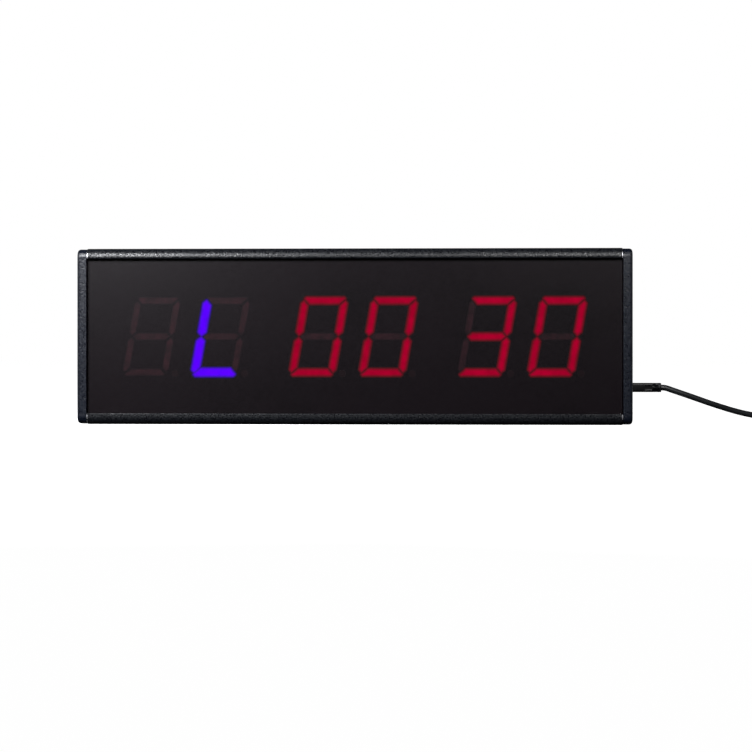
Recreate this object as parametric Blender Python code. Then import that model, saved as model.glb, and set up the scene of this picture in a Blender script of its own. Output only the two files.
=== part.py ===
"""A gym timer: six seven-segment digits behind a smoked panel, in a case of two rails and two end caps.

Its power lead plugs into the right end cap. Lengths are in metres. +X is to the viewer's right, +Y to the
back and +Z up, and the origin is on the surface that the case stands on, under the case's middle.
"""

import math

import bmesh
import bpy
from mathutils import Matrix, Vector

GAP = 0.0003  # left between pieces that touch
CUT_PAST = 0.001  # that a cutter runs past what it cuts
SMALL_EDGE = 0.0002  # corner of a small or hidden piece

# Case
CASE_LENGTH = 0.406
CASE_HEIGHT = 0.129
FRONT_RADIUS = 0.006
REAR_RADIUS = 0.0035
RAIL_WALL = 0.0022
TOP_LIP = 0.0067
BOTTOM_LIP = 0.0079
REAR_LIP = 0.0080
REAR_LIP_WALL = 0.0019
GROOVE_ROOT = 0.0037  # of the panel grooves, from the rail's outer face
RIB = 0.0014
RIB_STOP = 0.0007  # how much lower than the lip a panel groove's inner rib ends
BOARD_SEAT = 0.0060
BOARD_RIB_END = 0.0095
PORT_RADIUS = 0.0032
PORT_RISE = 0.0065
PORT_SLOT = 0.0011
PORT_STEM = 0.0032

# End caps
CAP_THICKNESS = 0.0068
CAP_INSET = 0.0005  # how far a cap lies inside the rails' outline
CAP_EDGE = 0.0022

# Panels
PANEL_TONGUE = 0.0015
PANEL_RAISE = 0.0015
PANEL_RECESS = 0.0012  # of the panel's face behind the lips
PANEL_GAP_TOP = 0.0011
PANEL_GAP_BOTTOM = 0.0007
PANEL_GAP_SIDE = 0.0013
BACK_PANEL = 0.0015
KEYHOLE_X = 0.120
KEYHOLE_Z = 0.088
KEYHOLE_HEAD = 0.0050
KEYHOLE_SLOT = 0.0025
KEYHOLE_RISE = 0.0090
SOUND_HOLE = 0.0011
SOUND_HOLE_PITCH = 0.0036

# Screws
SHANK_RADIUS = 0.0014
HEAD_RADIUS = 0.0028
HEAD_DEPTH = 0.0018
SCREW_LENGTH = 0.016
SCREW_POINT = 0.001
RECESS_ARM = 0.0017
RECESS_WIDTH = 0.0012
RECESS_DEPTH = 0.0011

# Digits
DIGIT_PAIRS = 3
DIGIT_HALF_WIDTH = 0.01705
DIGIT_HALF_HEIGHT = 0.0289
STROKE_UPRIGHT = 0.0053
STROKE_LEVEL = 0.0053
UPRIGHT_CUT = 0.0047  # of the digit's outer corners, measured along an upright segment
LEVEL_CUT = 0.0032  # and along a level one
MITRE_GAP = 0.0011
WAIST_GAP = 0.0015
SLANT = math.radians(10)
POINT_RADIUS = 0.0026
POINT_OUT = 0.00515  # the decimal point's middle beyond the digit's side, before the slant
POINT_RISE = 0.0018
HOUSING_SIDE = 0.0019  # from the slanted digit to the housing's side
HOUSING_END = 0.0061  # from the digit to the housing's top
HOUSING_SPACING = 0.0031  # between the two housings of a pair
HOUSING_DEPTH = 0.012
HOUSING_WALL = 0.0015
HOUSING_FACE = 0.0020
HOUSING_CORNER = 0.0008
GUIDE_SLAB = 0.0030
DIGIT_STANDOFF = 0.0012  # from the panel's back to the digits' faces
MASK = 0.0003  # sheet that lies on the digits' faces

# Board, with the parts that stand on it as (width, depth, height)
BOARD = 0.0016
COMPONENT_ROOM = 0.0170  # from the board to the back panel
CHIP_SIZE = (0.018, 0.0025, 0.0075)
CONTROLLER_X = 0.050
DRIVERS_X = (-0.100, 0.100)
CRYSTAL_SIZE = (0.011, 0.0035, 0.0047)
CRYSTAL_DROP = 0.0145  # below the controller
REGULATOR_SIZE = (0.0066, 0.0023, 0.0095)
REGULATOR_FROM_END = 0.084
CAPACITOR_RADIUS = 0.0040
CAPACITOR_HEIGHT = 0.0115
CAPACITOR_FROM_END = 0.068
POWER_PARTS_Z = 0.038
BUZZER_RADIUS = 0.0060
BUZZER_HEIGHT = 0.0095
BUZZER_X = -0.060
BUZZER_Z = 0.040
CAN_EDGE = 0.0006
RECEIVER_SIZE = (0.0060, 0.0045, 0.0070)
RECEIVER_Z = 0.040
HEADER_SIZE = (0.008, 0.007, 0.008)
HEADER_FROM_END = 0.0462
CONNECTOR_SIZE = (0.007, 0.005, 0.007)
WIRE_RADIUS = 0.0007
WIRES_APART_AT_JACK = 0.0048
WIRES_APART_AT_CONNECTOR = 0.0026
WIRE_END = 0.0025  # that a wire runs straight
WIRE_STEP = 0.0015

# Power socket
JACK_Z = 0.0269
JACK_BODY_RADIUS = 0.0047
JACK_BODY_LENGTH = 0.0097
JACK_FLANGE_RADIUS = 0.0056
JACK_FLANGE = 0.0023
BUSHING_RADIUS = 0.0040
SOCKET_PIN_RADIUS = 0.00085
SOCKET_PIN_RECESS = 0.0014
SOCKET_FLOOR_ROOM = 0.0008  # between the plug's tip and the socket's floor
NUT_FLATS = 0.011
NUT_THICKNESS = 0.0020
NUT_ROOM = 0.0006

# Power plug and lead
BARREL_RADIUS = 0.00275
BARREL_BORE = 0.0012
BARREL_LENGTH = 0.0094
BARREL_TAIL_RADIUS = 0.0019
BARREL_TAIL = 0.0043
GRIP_STANDOFF = 0.0005  # from the end cap
GRIP_LENGTH = 0.0234
GRIP_HALF_HEIGHT = 0.00325
GRIP_HALF_WIDTH = 0.0040
GRIP_CORNER = 0.0022
GRIP_EDGE = 0.0005
CORD_RADIUS = 0.0020
CORD_STEP = 0.0085
CORD_END = 0.002  # that a stretch runs straight out of what it meets
CORD_FLOOR_ROOM = 0.00005

# The cord's route to the coil, chosen by hand, as (distance past the grip, height)
LEAD_ROUTE = (
    (0.0003, 0.0269),
    (0.0023, 0.0269),
    (0.0066, 0.0256),
    (0.0110, 0.0241),
    (0.0189, 0.0214),
    (0.0272, 0.0186),
    (0.0361, 0.0155),
    (0.0461, 0.0123),
    (0.0561, 0.0094),
    (0.0661, 0.0070),
    (0.0761, 0.0050),
    (0.0861, 0.0035),
    (0.0961, 0.0026),
    (0.1061, 0.00215),
    (0.1131, 0.00205),
    (0.1178, 0.00205),
)

# Coil: turns that run in and out in layers, each layer climbed in the half turn where the run reverses
COIL_FROM_GRIP = 0.1231
COIL_BACK = 0.0180  # of its outer side from the socket's plane, so that it lies in line with the case
COIL_RADIUS = 0.02361  # at the middle of the turns
COIL_TURNS = 9
COIL_LAYERS = 4
COIL_CLIMB = 0.5  # turns
COIL_ROOM = 0.0006  # between neighbouring turns
COIL_BULGE = 0.0007
COIL_END = 0.005
COIL_STEPS = 24
TIE_WIDTH = 0.008
TIE_THICKNESS = 0.0010
TIE_LIFT = 0.0014
TIE_LIFT_SPREAD = math.radians(50)
TIE_SIDE_ROOM = 0.0008
TIE_CORNER = 0.002

# Wall adapter, lying on its front face
RELIEF_FROM_COIL = 0.050
TAIL_STEP = 0.005
TAIL_POINTS = 8
RELIEF_LENGTH = 0.016
RELIEF_TIP_RADIUS = 0.0027
RELIEF_ROOT_RADIUS = 0.0045
ADAPTER_LENGTH = 0.062
ADAPTER_WIDTH = 0.040
ADAPTER_HEIGHT = 0.027
ADAPTER_LID = 0.0090
ADAPTER_CORNER = 0.005
ADAPTER_EDGE = 0.002
BLADE_SPACING = 0.0127
BLADE_WIDTH = 0.0063
BLADE_THICKNESS = 0.0015
BLADE_OUT = 0.0165
BLADE_IN = 0.003

# Places along Y, from the case's front to its back
CASE_DEPTH = PANEL_RECESS + PANEL_RAISE + PANEL_TONGUE + DIGIT_STANDOFF + HOUSING_DEPTH + GAP + BOARD
CASE_DEPTH += COMPONENT_ROOM + BACK_PANEL + GAP + REAR_LIP_WALL
FRONT_Y = -CASE_DEPTH / 2
BACK_Y = CASE_DEPTH / 2
PANEL_FACE_Y = FRONT_Y + PANEL_RECESS
TONGUE_FRONT_Y = PANEL_FACE_Y + PANEL_RAISE
TONGUE_BACK_Y = TONGUE_FRONT_Y + PANEL_TONGUE
DIGIT_FACE_Y = TONGUE_BACK_Y + DIGIT_STANDOFF
BOARD_FRONT_Y = DIGIT_FACE_Y + HOUSING_DEPTH + GAP
BOARD_BACK_Y = BOARD_FRONT_Y + BOARD
BACK_PANEL_IN_Y = BOARD_BACK_Y + COMPONENT_ROOM
BACK_PANEL_OUT_Y = BACK_PANEL_IN_Y + BACK_PANEL
FRONT_PORT_Y = (TONGUE_BACK_Y + BOARD_FRONT_Y) / 2
REAR_PORT_Y = (BOARD_BACK_Y + BACK_PANEL_IN_Y) / 2
JACK_Y = REAR_PORT_Y

# Places along X, from the case's end
END_X = CASE_LENGTH / 2
CAP_INNER_X = END_X - CAP_THICKNESS
RAIL_END_X = CAP_INNER_X - GAP
SHEET_END_X = RAIL_END_X - GAP
PANEL_FACE_X = CAP_INNER_X - PANEL_GAP_SIDE
BUSHING_END_X = END_X - GAP
JACK_FLANGE_X = CAP_INNER_X - GAP - JACK_FLANGE
JACK_BACK_X = JACK_FLANGE_X - JACK_BODY_LENGTH
GRIP_X = END_X + GRIP_STANDOFF
BARREL_TIP_X = GRIP_X - GAP - BARREL_LENGTH
GRIP_END_X = GRIP_X + GRIP_LENGTH
COIL_X = GRIP_END_X + COIL_FROM_GRIP
RELIEF_TIP_X = COIL_X + RELIEF_FROM_COIL
ADAPTER_X = RELIEF_TIP_X + RELIEF_LENGTH + GAP

# Sizes that follow from others
DIGIT_Z = CASE_HEIGHT / 2
HOUSING_WIDTH = 2 * (DIGIT_HALF_WIDTH + DIGIT_HALF_HEIGHT * math.tan(SLANT) + HOUSING_SIDE)
HOUSING_HEIGHT = 2 * (DIGIT_HALF_HEIGHT + HOUSING_END)
PAIR_WIDTH = 2 * HOUSING_WIDTH + HOUSING_SPACING
PAIR_ROOM = (2 * CAP_INNER_X - DIGIT_PAIRS * PAIR_WIDTH) / (DIGIT_PAIRS + 1)  # beside each pair
SCREW_BORE = SHANK_RADIUS + GAP
NUT_RADIUS = NUT_FLATS / math.sqrt(3)
COIL_PITCH = 2 * CORD_RADIUS + COIL_ROOM
COIL_RUN = (COIL_TURNS - COIL_CLIMB * (COIL_LAYERS - 1)) / COIL_LAYERS  # turns in a layer
COIL_INNER = COIL_RADIUS - COIL_PITCH * COIL_RUN / 2
COIL_OUTER = COIL_RADIUS + COIL_PITCH * COIL_RUN / 2
COIL_SIDE_Y = JACK_Y + COIL_BACK
COIL_Y = COIL_SIDE_Y - COIL_OUTER
COIL_FLOOR = CORD_RADIUS + CORD_FLOOR_ROOM
COIL_TOP = COIL_FLOOR + COIL_PITCH * (COIL_LAYERS - 1)


# Tools for shapes


def clear_scene():
    for old in list(bpy.data.objects):
        bpy.data.objects.remove(old, do_unlink=True)


def finish(name, colour, roughness, metallic=0.0, alpha=1.0):
    """A material of that colour."""
    material = bpy.data.materials.new(name)
    material.use_nodes = True
    shader = material.node_tree.nodes["Principled BSDF"]
    shader.inputs["Base Color"].default_value = (*colour, 1.0)
    shader.inputs["Roughness"].default_value = roughness
    shader.inputs["Metallic"].default_value = metallic
    shader.inputs["Alpha"].default_value = alpha
    return material


def arc(centre, radius, start, end, steps):
    """Points of an arc about centre, from one angle to another in degrees."""
    angles = [math.radians(start + (end - start) * i / steps) for i in range(steps + 1)]
    return [(centre[0] + radius * math.cos(a), centre[1] + radius * math.sin(a)) for a in angles]


def circle(radius, steps):
    return arc((0, 0), radius, 0, 360 - 360 / steps, steps - 1)


def rounded_rectangle(low, high, radii, steps):
    """An outline from corner low to corner high. radii start at low and go round counter-clockwise."""
    corners = ((low[0], low[1]), (high[0], low[1]), (high[0], high[1]), (low[0], high[1]))
    inwards = ((1, 1), (-1, 1), (-1, -1), (1, -1))
    points = []
    for (x, y), (dx, dy), radius, start in zip(corners, inwards, radii, (180, 270, 0, 90)):
        points += arc((x + dx * radius, y + dy * radius), radius, start, start + 90, steps)
    return points


def centred_rectangle(width, height, corner, steps):
    half = (width / 2, height / 2)
    return rounded_rectangle((-half[0], -half[1]), half, (corner,) * 4, steps)


def grown(outline, distance):
    """A convex counter-clockwise outline with every side moved outwards by distance."""
    moved = []
    for i, corner in enumerate(outline):
        here, before, after = Vector(corner), Vector(outline[i - 1]), Vector(outline[(i + 1) % len(outline)])
        first = Vector((here.y - before.y, before.x - here.x)).normalized()
        second = Vector((after.y - here.y, here.x - after.x)).normalized()
        moved.append(tuple(here + (first + second) * distance / (1 + first.dot(second))))
    return moved


def shifted(outline, place):
    return [(u + place[0], v + place[1]) for u, v in outline]


def along_x(outline, x):
    return [(x, u, v) for u, v in outline]


def along_y(outline, y):
    return [(u, y, v) for u, v in outline]


def along_z(outline, z):
    return [(u, v, z) for u, v in outline]


def skinned(name, rings, loop=False):
    """A closed mesh through rings of points. A ring of one point is a pole, and loop joins last to first."""
    shape = bmesh.new()
    made = [[shape.verts.new(point) for point in ring] for ring in rings]
    pairs = list(zip(made, made[1:])) + ([(made[-1], made[0])] if loop else [])
    for first, second in pairs:
        for i in range(max(len(first), len(second))):
            corners = [first[i % len(first)], first[(i + 1) % len(first)]]
            corners += [second[(i + 1) % len(second)], second[i % len(second)]]
            shape.faces.new(list(dict.fromkeys(corners)))
    if not loop:
        for end in (made[0], made[-1]):
            if len(end) > 2:
                shape.faces.new(end)
    bmesh.ops.recalc_face_normals(shape, faces=shape.faces)
    mesh = bpy.data.meshes.new(name)
    shape.to_mesh(mesh)
    shape.free()
    return mesh


def prism(name, outline, place, start, end):
    """The outline extruded along the axis of place, which is along_x, along_y or along_z."""
    return skinned(name, [place(outline, start), place(outline, end)])


def turned(name, profile, steps, loop=False):
    """A solid turned about the X axis. The profile is (x, radius) points, and a radius of 0 is a pole."""
    rings = []
    for x, radius in profile:
        rings.append(along_x(circle(radius, steps), x) if radius else [(x, 0, 0)])
    return skinned(name, rings, loop)


def block(name, size):
    """A box about the origin, its upright edges just broken."""
    return prism(name, centred_rectangle(size[0], size[1], SMALL_EDGE, 1), along_z, -size[2] / 2, size[2] / 2)


def moved_mesh(mesh, place):
    mesh.transform(Matrix.Translation(place))
    return mesh


def mirrored(mesh):
    """The mesh seen in a mirror across X = 0, with its faces still pointing out."""
    for vertex in mesh.vertices:
        vertex.co.x = -vertex.co.x
    mesh.flip_normals()
    return mesh


def gathered(name, meshes):
    """Several separate closed meshes as one mesh, for a cutter."""
    shape = bmesh.new()
    for mesh in meshes:
        shape.from_mesh(mesh)
    result = bpy.data.meshes.new(name)
    shape.to_mesh(result)
    shape.free()
    return result


def combined(mesh, others, operation):
    """The mesh that a Boolean makes of the mesh and the others."""
    data = (mesh, gathered("others", others))
    pieces = [bpy.data.objects.new("piece", each) for each in data]
    for piece in pieces:
        bpy.context.scene.collection.objects.link(piece)
    modifier = pieces[0].modifiers.new("combine", "BOOLEAN")
    modifier.operation = operation
    modifier.object = pieces[1]
    graph = bpy.context.evaluated_depsgraph_get()
    result = bpy.data.meshes.new_from_object(pieces[0].evaluated_get(graph))
    result.name = mesh.name
    for piece in pieces:
        bpy.data.objects.remove(piece, do_unlink=True)
    return result


def node(name, mesh, material, location=(0, 0, 0), turn=0.0, parent=None):
    """A named piece at a location in the world, turned about Z."""
    piece = bpy.data.objects.new(name, mesh)
    bpy.context.scene.collection.objects.link(piece)
    if not mesh.materials:
        mesh.materials.append(material)
    mesh.shade_smooth()
    mesh.set_sharp_from_angle(angle=math.radians(30))
    piece.location = location
    piece.rotation_euler = (0, 0, turn)
    if parent:
        piece.parent = parent
        piece.location = Vector(location) - parent.location


def smooth_route(route, step):
    """Points about a step apart on a smooth curve through the route's points, with both ends kept."""
    route = [Vector(point) for point in route]
    ends = [2 * route[0] - route[1], *route, 2 * route[-1] - route[-2]]
    fine = [route[0]]
    for a, b, c, d in zip(ends, ends[1:], ends[2:], ends[3:]):
        for i in range(1, 9):
            t = i / 8
            rest = (2 * a - 5 * b + 4 * c - d) * t**2 + (3 * b - a - 3 * c + d) * t**3
            fine.append(b + ((c - a) * t + rest) / 2)
    total = length_of(fine)
    count = max(2, round(total / step))
    points, walked, wanted = [fine[0]], 0.0, 1
    for a, b in zip(fine, fine[1:]):
        length = (b - a).length
        while wanted < count and walked + length >= wanted * total / count:
            points.append(a.lerp(b, (wanted * total / count - walked) / length))
            wanted += 1
        walked += length
    return [*points, fine[-1]]


def straight_ended(route, step):
    """As smooth_route, but with straight runs between the route's first two points and its last two."""
    return [Vector(route[0]), *smooth_route(route[1:-1], step), Vector(route[-1])]


def length_of(points):
    return sum((b - a).length for a, b in zip(points, points[1:]))


def tube(name, points, radius, resolution, material, parent=None):
    """A round cord along the points, as a curve with a bevel and filled caps."""
    curve = bpy.data.curves.new(name, "CURVE")
    curve.dimensions = "3D"
    curve.bevel_depth = radius
    curve.bevel_resolution = resolution
    curve.use_fill_caps = True
    curve.materials.append(material)
    spline = curve.splines.new("POLY")
    spline.points.add(len(points) - 1)
    origin = parent.location if parent else Vector((0, 0, 0))
    for point, place in zip(spline.points, points):
        point.co = (*(place - origin), 1.0)
    piece = bpy.data.objects.new(name, curve)
    bpy.context.scene.collection.objects.link(piece)
    piece.parent = parent


# Case


def screw_port(y):
    """The outline of a C-shaped screw port, from its +Y side to its -Y side along the rail's inner face."""
    stem = math.degrees(math.asin(PORT_STEM / 2 / PORT_RADIUS))
    slot_out = math.degrees(math.asin(PORT_SLOT / 2 / PORT_RADIUS))
    slot_in = math.degrees(math.asin(PORT_SLOT / 2 / SCREW_BORE))
    centre = (y, PORT_RISE)
    points = [(y + PORT_STEM / 2, RAIL_WALL)]
    points += arc(centre, PORT_RADIUS, stem - 90, 90 - slot_out, 6)
    points += arc(centre, SCREW_BORE, 90 - slot_in, slot_in - 270, 14)
    points += arc(centre, PORT_RADIUS, 90 + slot_out, 270 - stem, 6)
    return [*points, (y - PORT_STEM / 2, RAIL_WALL)]


def groove(back, front, root, rib_end, back_rib=True, front_rib=True):
    """A groove's outline from back to front, with the ribs that stand free of the rail's lips."""
    points = [(back, root), (front, root)]
    if back_rib:
        points = [(back + RIB, RAIL_WALL), (back + RIB, rib_end), (back, rib_end), *points]
    if front_rib:
        points += [(front, rib_end), (front - RIB, rib_end), (front - RIB, RAIL_WALL)]
    return points


def rail_section(lip):
    """A rail's section as (y, distance from its outer face), counter-clockwise from the front lip."""
    front = min(FRONT_RADIUS, lip)
    rear_groove = (BACK_PANEL_OUT_Y + GAP, BACK_PANEL_IN_Y - GAP)
    front_groove = (TONGUE_BACK_Y + GAP, TONGUE_FRONT_Y - GAP)
    points = [(FRONT_Y, lip)] if lip > front else []
    points += arc((FRONT_Y + front, front), front, 180, 270, 9)
    points += arc((BACK_Y - REAR_RADIUS, REAR_RADIUS), REAR_RADIUS, 270, 360, 5)
    points += [(BACK_Y, REAR_LIP), (rear_groove[0], REAR_LIP)]
    points += groove(*rear_groove, GROOVE_ROOT, REAR_LIP - RIB_STOP, back_rib=False)
    points += screw_port(REAR_PORT_Y)
    points += groove(BOARD_BACK_Y + GAP, BOARD_FRONT_Y - GAP, BOARD_SEAT, BOARD_RIB_END)
    points += screw_port(FRONT_PORT_Y)
    points += groove(*front_groove, GROOVE_ROOT, lip - RIB_STOP, front_rib=False)
    return [*points, (front_groove[1], lip)]


def make_rails(coat):
    bottom = rail_section(BOTTOM_LIP)
    top = [(y, CASE_HEIGHT - rise) for y, rise in rail_section(TOP_LIP)]
    node("bottom_rail", prism("bottom_rail", bottom, along_x, -RAIL_END_X, RAIL_END_X), coat)
    node("top_rail", prism("top_rail", top, along_x, -RAIL_END_X, RAIL_END_X), coat)


def screw_places():
    """(y, z) of the four screws in an end cap."""
    return [(y, z) for y in (FRONT_PORT_Y, REAR_PORT_Y) for z in (PORT_RISE, CASE_HEIGHT - PORT_RISE)]


def cap_plate(name):
    """The right end cap without holes: a plate with its outer edge rounded."""
    low = (FRONT_Y + CAP_INSET, CAP_INSET)
    high = (BACK_Y - CAP_INSET, CASE_HEIGHT - CAP_INSET)
    front, rear = FRONT_RADIUS - CAP_INSET, REAR_RADIUS - CAP_INSET
    outline = rounded_rectangle(low, high, (front, rear, rear, front), 6)
    edge = min(CAP_EDGE, rear - SMALL_EDGE)
    rings = [along_x(outline, CAP_INNER_X)]
    for i in range(5):
        angle = math.radians(90 * i / 4)
        inset = edge * (1 - math.cos(angle))
        rings.append(along_x(grown(outline, -inset), END_X - edge + edge * math.sin(angle)))
    return skinned(name, rings)


def screw_hole(y, z):
    """The cutter of one countersunk hole in the right cap."""
    head = HEAD_RADIUS + GAP
    far = -CAP_THICKNESS - CUT_PAST
    profile = [(CUT_PAST, 0), (CUT_PAST, head), (-GAP, head), (-GAP - HEAD_DEPTH, SCREW_BORE)]
    profile += [(far, SCREW_BORE), (far, 0)]
    return moved_mesh(turned("screw_hole", profile, 16), (END_X, y, z))


def socket_hole():
    """The cutter of the jack's hole, with the pocket that its nut lies in."""
    through, pocket = BUSHING_RADIUS + GAP, NUT_RADIUS + NUT_ROOM
    floor, far = -NUT_THICKNESS - 2 * GAP, -CAP_THICKNESS - CUT_PAST
    profile = [(CUT_PAST, 0), (CUT_PAST, pocket), (floor, pocket), (floor, through), (far, through), (far, 0)]
    return moved_mesh(turned("socket_hole", profile, 32), (END_X, JACK_Y, JACK_Z))


def make_caps(coat):
    holes = [screw_hole(y, z) for y, z in screw_places()]
    left = mirrored(combined(cap_plate("left_end_cap"), holes, "DIFFERENCE"))
    right = combined(cap_plate("right_end_cap"), [*holes, socket_hole()], "DIFFERENCE")
    node("left_end_cap", left, coat)
    node("right_end_cap", right, coat)


def make_screws(steel):
    """Countersunk screws with a cross recess, along X, each head's face just inside the cap's."""
    profile = [(0, 0), (0, HEAD_RADIUS), (-HEAD_DEPTH, SHANK_RADIUS)]
    profile += [(SCREW_POINT - SCREW_LENGTH, SHANK_RADIUS), (-SCREW_LENGTH, SHANK_RADIUS / 2)]
    profile += [(-SCREW_LENGTH, 0)]
    arm, half = RECESS_ARM, RECESS_WIDTH / 2
    quarter = [Vector((arm, -half)), Vector((arm, half)), Vector((half, half))]
    cross = []
    for count in range(4):
        turn = Matrix.Rotation(math.radians(90 * count), 2)
        cross += [tuple(turn @ corner) for corner in quarter]
    recess = prism("recess", cross, along_x, -RECESS_DEPTH, CUT_PAST)
    mesh = combined(turned("cap_screw", profile, 16), [recess], "DIFFERENCE")
    for number, (y, z) in enumerate(screw_places(), 1):
        node(f"left_cap_screw_{number}", mesh, steel, (GAP - END_X, y, z), math.pi)
        node(f"right_cap_screw_{number}", mesh, steel, (END_X - GAP, y, z))


# Panels


def sheet_outline():
    """The outline that slides in the rails' grooves, front or back."""
    low, high = GROOVE_ROOT + GAP, CASE_HEIGHT - GROOVE_ROOT - GAP
    return rounded_rectangle((-SHEET_END_X, low), (SHEET_END_X, high), (SMALL_EDGE,) * 4, 1)


def make_front_panel(acrylic):
    """The smoked sheet: a tongue that slides in the rails' grooves, and a face that stands forward of it."""
    tongue = sheet_outline()
    low, high = BOTTOM_LIP + PANEL_GAP_BOTTOM, CASE_HEIGHT - TOP_LIP - PANEL_GAP_TOP
    face = rounded_rectangle((-PANEL_FACE_X, low), (PANEL_FACE_X, high), (SMALL_EDGE,) * 4, 1)
    levels = ((tongue, TONGUE_BACK_Y), (tongue, TONGUE_FRONT_Y), (face, TONGUE_FRONT_Y), (face, PANEL_FACE_Y))
    node("front_panel", skinned("front_panel", [along_y(*level) for level in levels]), acrylic)


def keyhole(x):
    """The outline of a round hole for a screw's head with a slot above it for the shank."""
    meet = math.degrees(math.asin(KEYHOLE_SLOT / KEYHOLE_HEAD))
    points = arc((x, KEYHOLE_Z), KEYHOLE_HEAD, 90 + meet, 450 - meet, 20)
    return points + arc((x, KEYHOLE_Z + KEYHOLE_RISE), KEYHOLE_SLOT, 0, 180, 8)


def make_back_panel(sheet):
    """The back sheet, with two keyholes and a ring of sound holes round one behind the buzzer."""
    places = [(BUZZER_X, BUZZER_Z)] + shifted(circle(SOUND_HOLE_PITCH, 6), (BUZZER_X, BUZZER_Z))
    outlines = [shifted(circle(SOUND_HOLE, 10), place) for place in places]
    outlines += [keyhole(x) for x in (-KEYHOLE_X, KEYHOLE_X)]
    depth = (BACK_PANEL_IN_Y - CUT_PAST, BACK_PANEL_OUT_Y + CUT_PAST)
    cutters = [prism("hole", outline, along_y, *depth) for outline in outlines]
    plate = prism("back_panel", sheet_outline(), along_y, BACK_PANEL_IN_Y, BACK_PANEL_OUT_Y)
    node("back_panel", combined(plate, cutters, "DIFFERENCE"), sheet)


# Digits


def flipped(outline, across, up):
    """The outline mirrored sideways where across is -1 and upside down where up is -1."""
    mirror = [(x * across, z * up) for x, z in outline]
    return mirror if across * up > 0 else mirror[::-1]


def segment_outlines():
    """The seven segments of an upright digit as (x, z) outlines, from a, the top, to g, the middle."""
    wide, tall = DIGIT_HALF_WIDTH, DIGIT_HALF_HEIGHT
    upright, level = STROKE_UPRIGHT, STROKE_LEVEL
    mitre, waist = MITRE_GAP / math.sqrt(2), WAIST_GAP / 2
    top = [(-wide + LEVEL_CUT, tall)]
    top += [(-wide + (LEVEL_CUT + mitre) / 2, tall - (LEVEL_CUT - mitre) / 2)]
    top += [(-wide + level + mitre, tall - level)]
    top += [(-x, z) for x, z in reversed(top)]
    side = [(-wide, tall - UPRIGHT_CUT), (-wide, waist + upright / 2), (-wide + upright / 2, waist)]
    side += [(-wide + upright, waist + upright / 2), (-wide + upright, tall - upright - mitre)]
    side += [(-wide + (UPRIGHT_CUT - mitre) / 2, tall - (UPRIGHT_CUT + mitre) / 2)]
    tip = 2 * mitre + upright / 2 - waist - wide
    middle = [(tip, 0), (tip + level / 2, -level / 2), (-tip - level / 2, -level / 2)]
    middle += flipped(middle, -1, -1)
    right_side, bottom = flipped(side, -1, 1), flipped(top, 1, -1)
    return [top, right_side, flipped(side, -1, -1), bottom, flipped(side, 1, -1), side, middle]


def slanted(outline):
    return [(x + z * math.tan(SLANT), z) for x, z in outline]


def window_outlines(room):
    """The slanted outlines of a digit's seven segments and decimal point, with room round each."""
    outlines = [grown(slanted(outline), room) for outline in segment_outlines()]
    point = slanted([(DIGIT_HALF_WIDTH + POINT_OUT, POINT_RISE - DIGIT_HALF_HEIGHT)])[0]
    return [*outlines, shifted(circle(POINT_RADIUS + room, 12), point)]


def housing_mesh(outer, cavity):
    """A digit's housing, open at the back, with windows in its face at Y = 0."""
    shell = ((outer, 0), (outer, HOUSING_DEPTH), (cavity, HOUSING_DEPTH), (cavity, HOUSING_FACE))
    housing = skinned("digit_housing", [along_y(*level) for level in shell])
    depth = (-CUT_PAST, HOUSING_FACE + CUT_PAST)
    windows = [prism("window", outline, along_y, *depth) for outline in window_outlines(GAP)]
    return combined(housing, windows, "DIFFERENCE")


def guide_mesh(cavity):
    """A digit's light guide: a slab behind the housing's face with a bar in each window."""
    slab_y = HOUSING_FACE + GAP
    slab = prism("light_guide", grown(cavity, -GAP), along_y, slab_y, slab_y + GUIDE_SLAB)
    bars = [prism("bar", outline, along_y, 0, slab_y + GUIDE_SLAB / 2) for outline in window_outlines(0)]
    return combined(slab, bars, "UNION")


def digits_x():
    """The digits' middles. They stand in pairs that share the case's length evenly."""
    places = []
    for pair in range(DIGIT_PAIRS):
        start = -CAP_INNER_X + PAIR_ROOM + pair * (PAIR_WIDTH + PAIR_ROOM)
        places += [start + HOUSING_WIDTH / 2, start + PAIR_WIDTH - HOUSING_WIDTH / 2]
    return places


def make_mask_sheet(film):
    """The black sheet on the digits' faces, which hides what is round them. Each segment has its window."""
    low, high = BOTTOM_LIP - RIB_STOP + GAP, CASE_HEIGHT - TOP_LIP + RIB_STOP - GAP
    outline = rounded_rectangle((-SHEET_END_X, low), (SHEET_END_X, high), (SMALL_EDGE,) * 4, 1)
    back = DIGIT_FACE_Y - GAP
    depth = (back - MASK - CUT_PAST, back + CUT_PAST)
    windows = []
    for x in digits_x():
        outlines = [shifted(segment, (x, DIGIT_Z)) for segment in window_outlines(0)]
        windows += [prism("window", segment, along_y, *depth) for segment in outlines]
    sheet = prism("mask_sheet", outline, along_y, back - MASK, back)
    node("mask_sheet", combined(sheet, windows, "DIFFERENCE"), film)


def make_digits(plastic, resin):
    outer = centred_rectangle(HOUSING_WIDTH, HOUSING_HEIGHT, HOUSING_CORNER, 2)
    inner = (HOUSING_WIDTH - 2 * HOUSING_WALL, HOUSING_HEIGHT - 2 * HOUSING_WALL)
    cavity = centred_rectangle(*inner, HOUSING_CORNER, 2)
    housing, guide = housing_mesh(outer, cavity), guide_mesh(cavity)
    for number, x in enumerate(digits_x(), 1):
        place = (x, DIGIT_FACE_Y, DIGIT_Z)
        node(f"digit_{number}_housing", housing, plastic, place)
        node(f"digit_{number}_light_guide", guide, resin, place)


# Board


def make_board(laminate):
    low, high = BOARD_SEAT + GAP, CASE_HEIGHT - BOARD_SEAT - GAP
    outline = rounded_rectangle((-SHEET_END_X, low), (SHEET_END_X, high), (SMALL_EDGE,) * 4, 1)
    node("display_board", prism("display_board", outline, along_y, BOARD_FRONT_Y, BOARD_BACK_Y), laminate)


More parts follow.
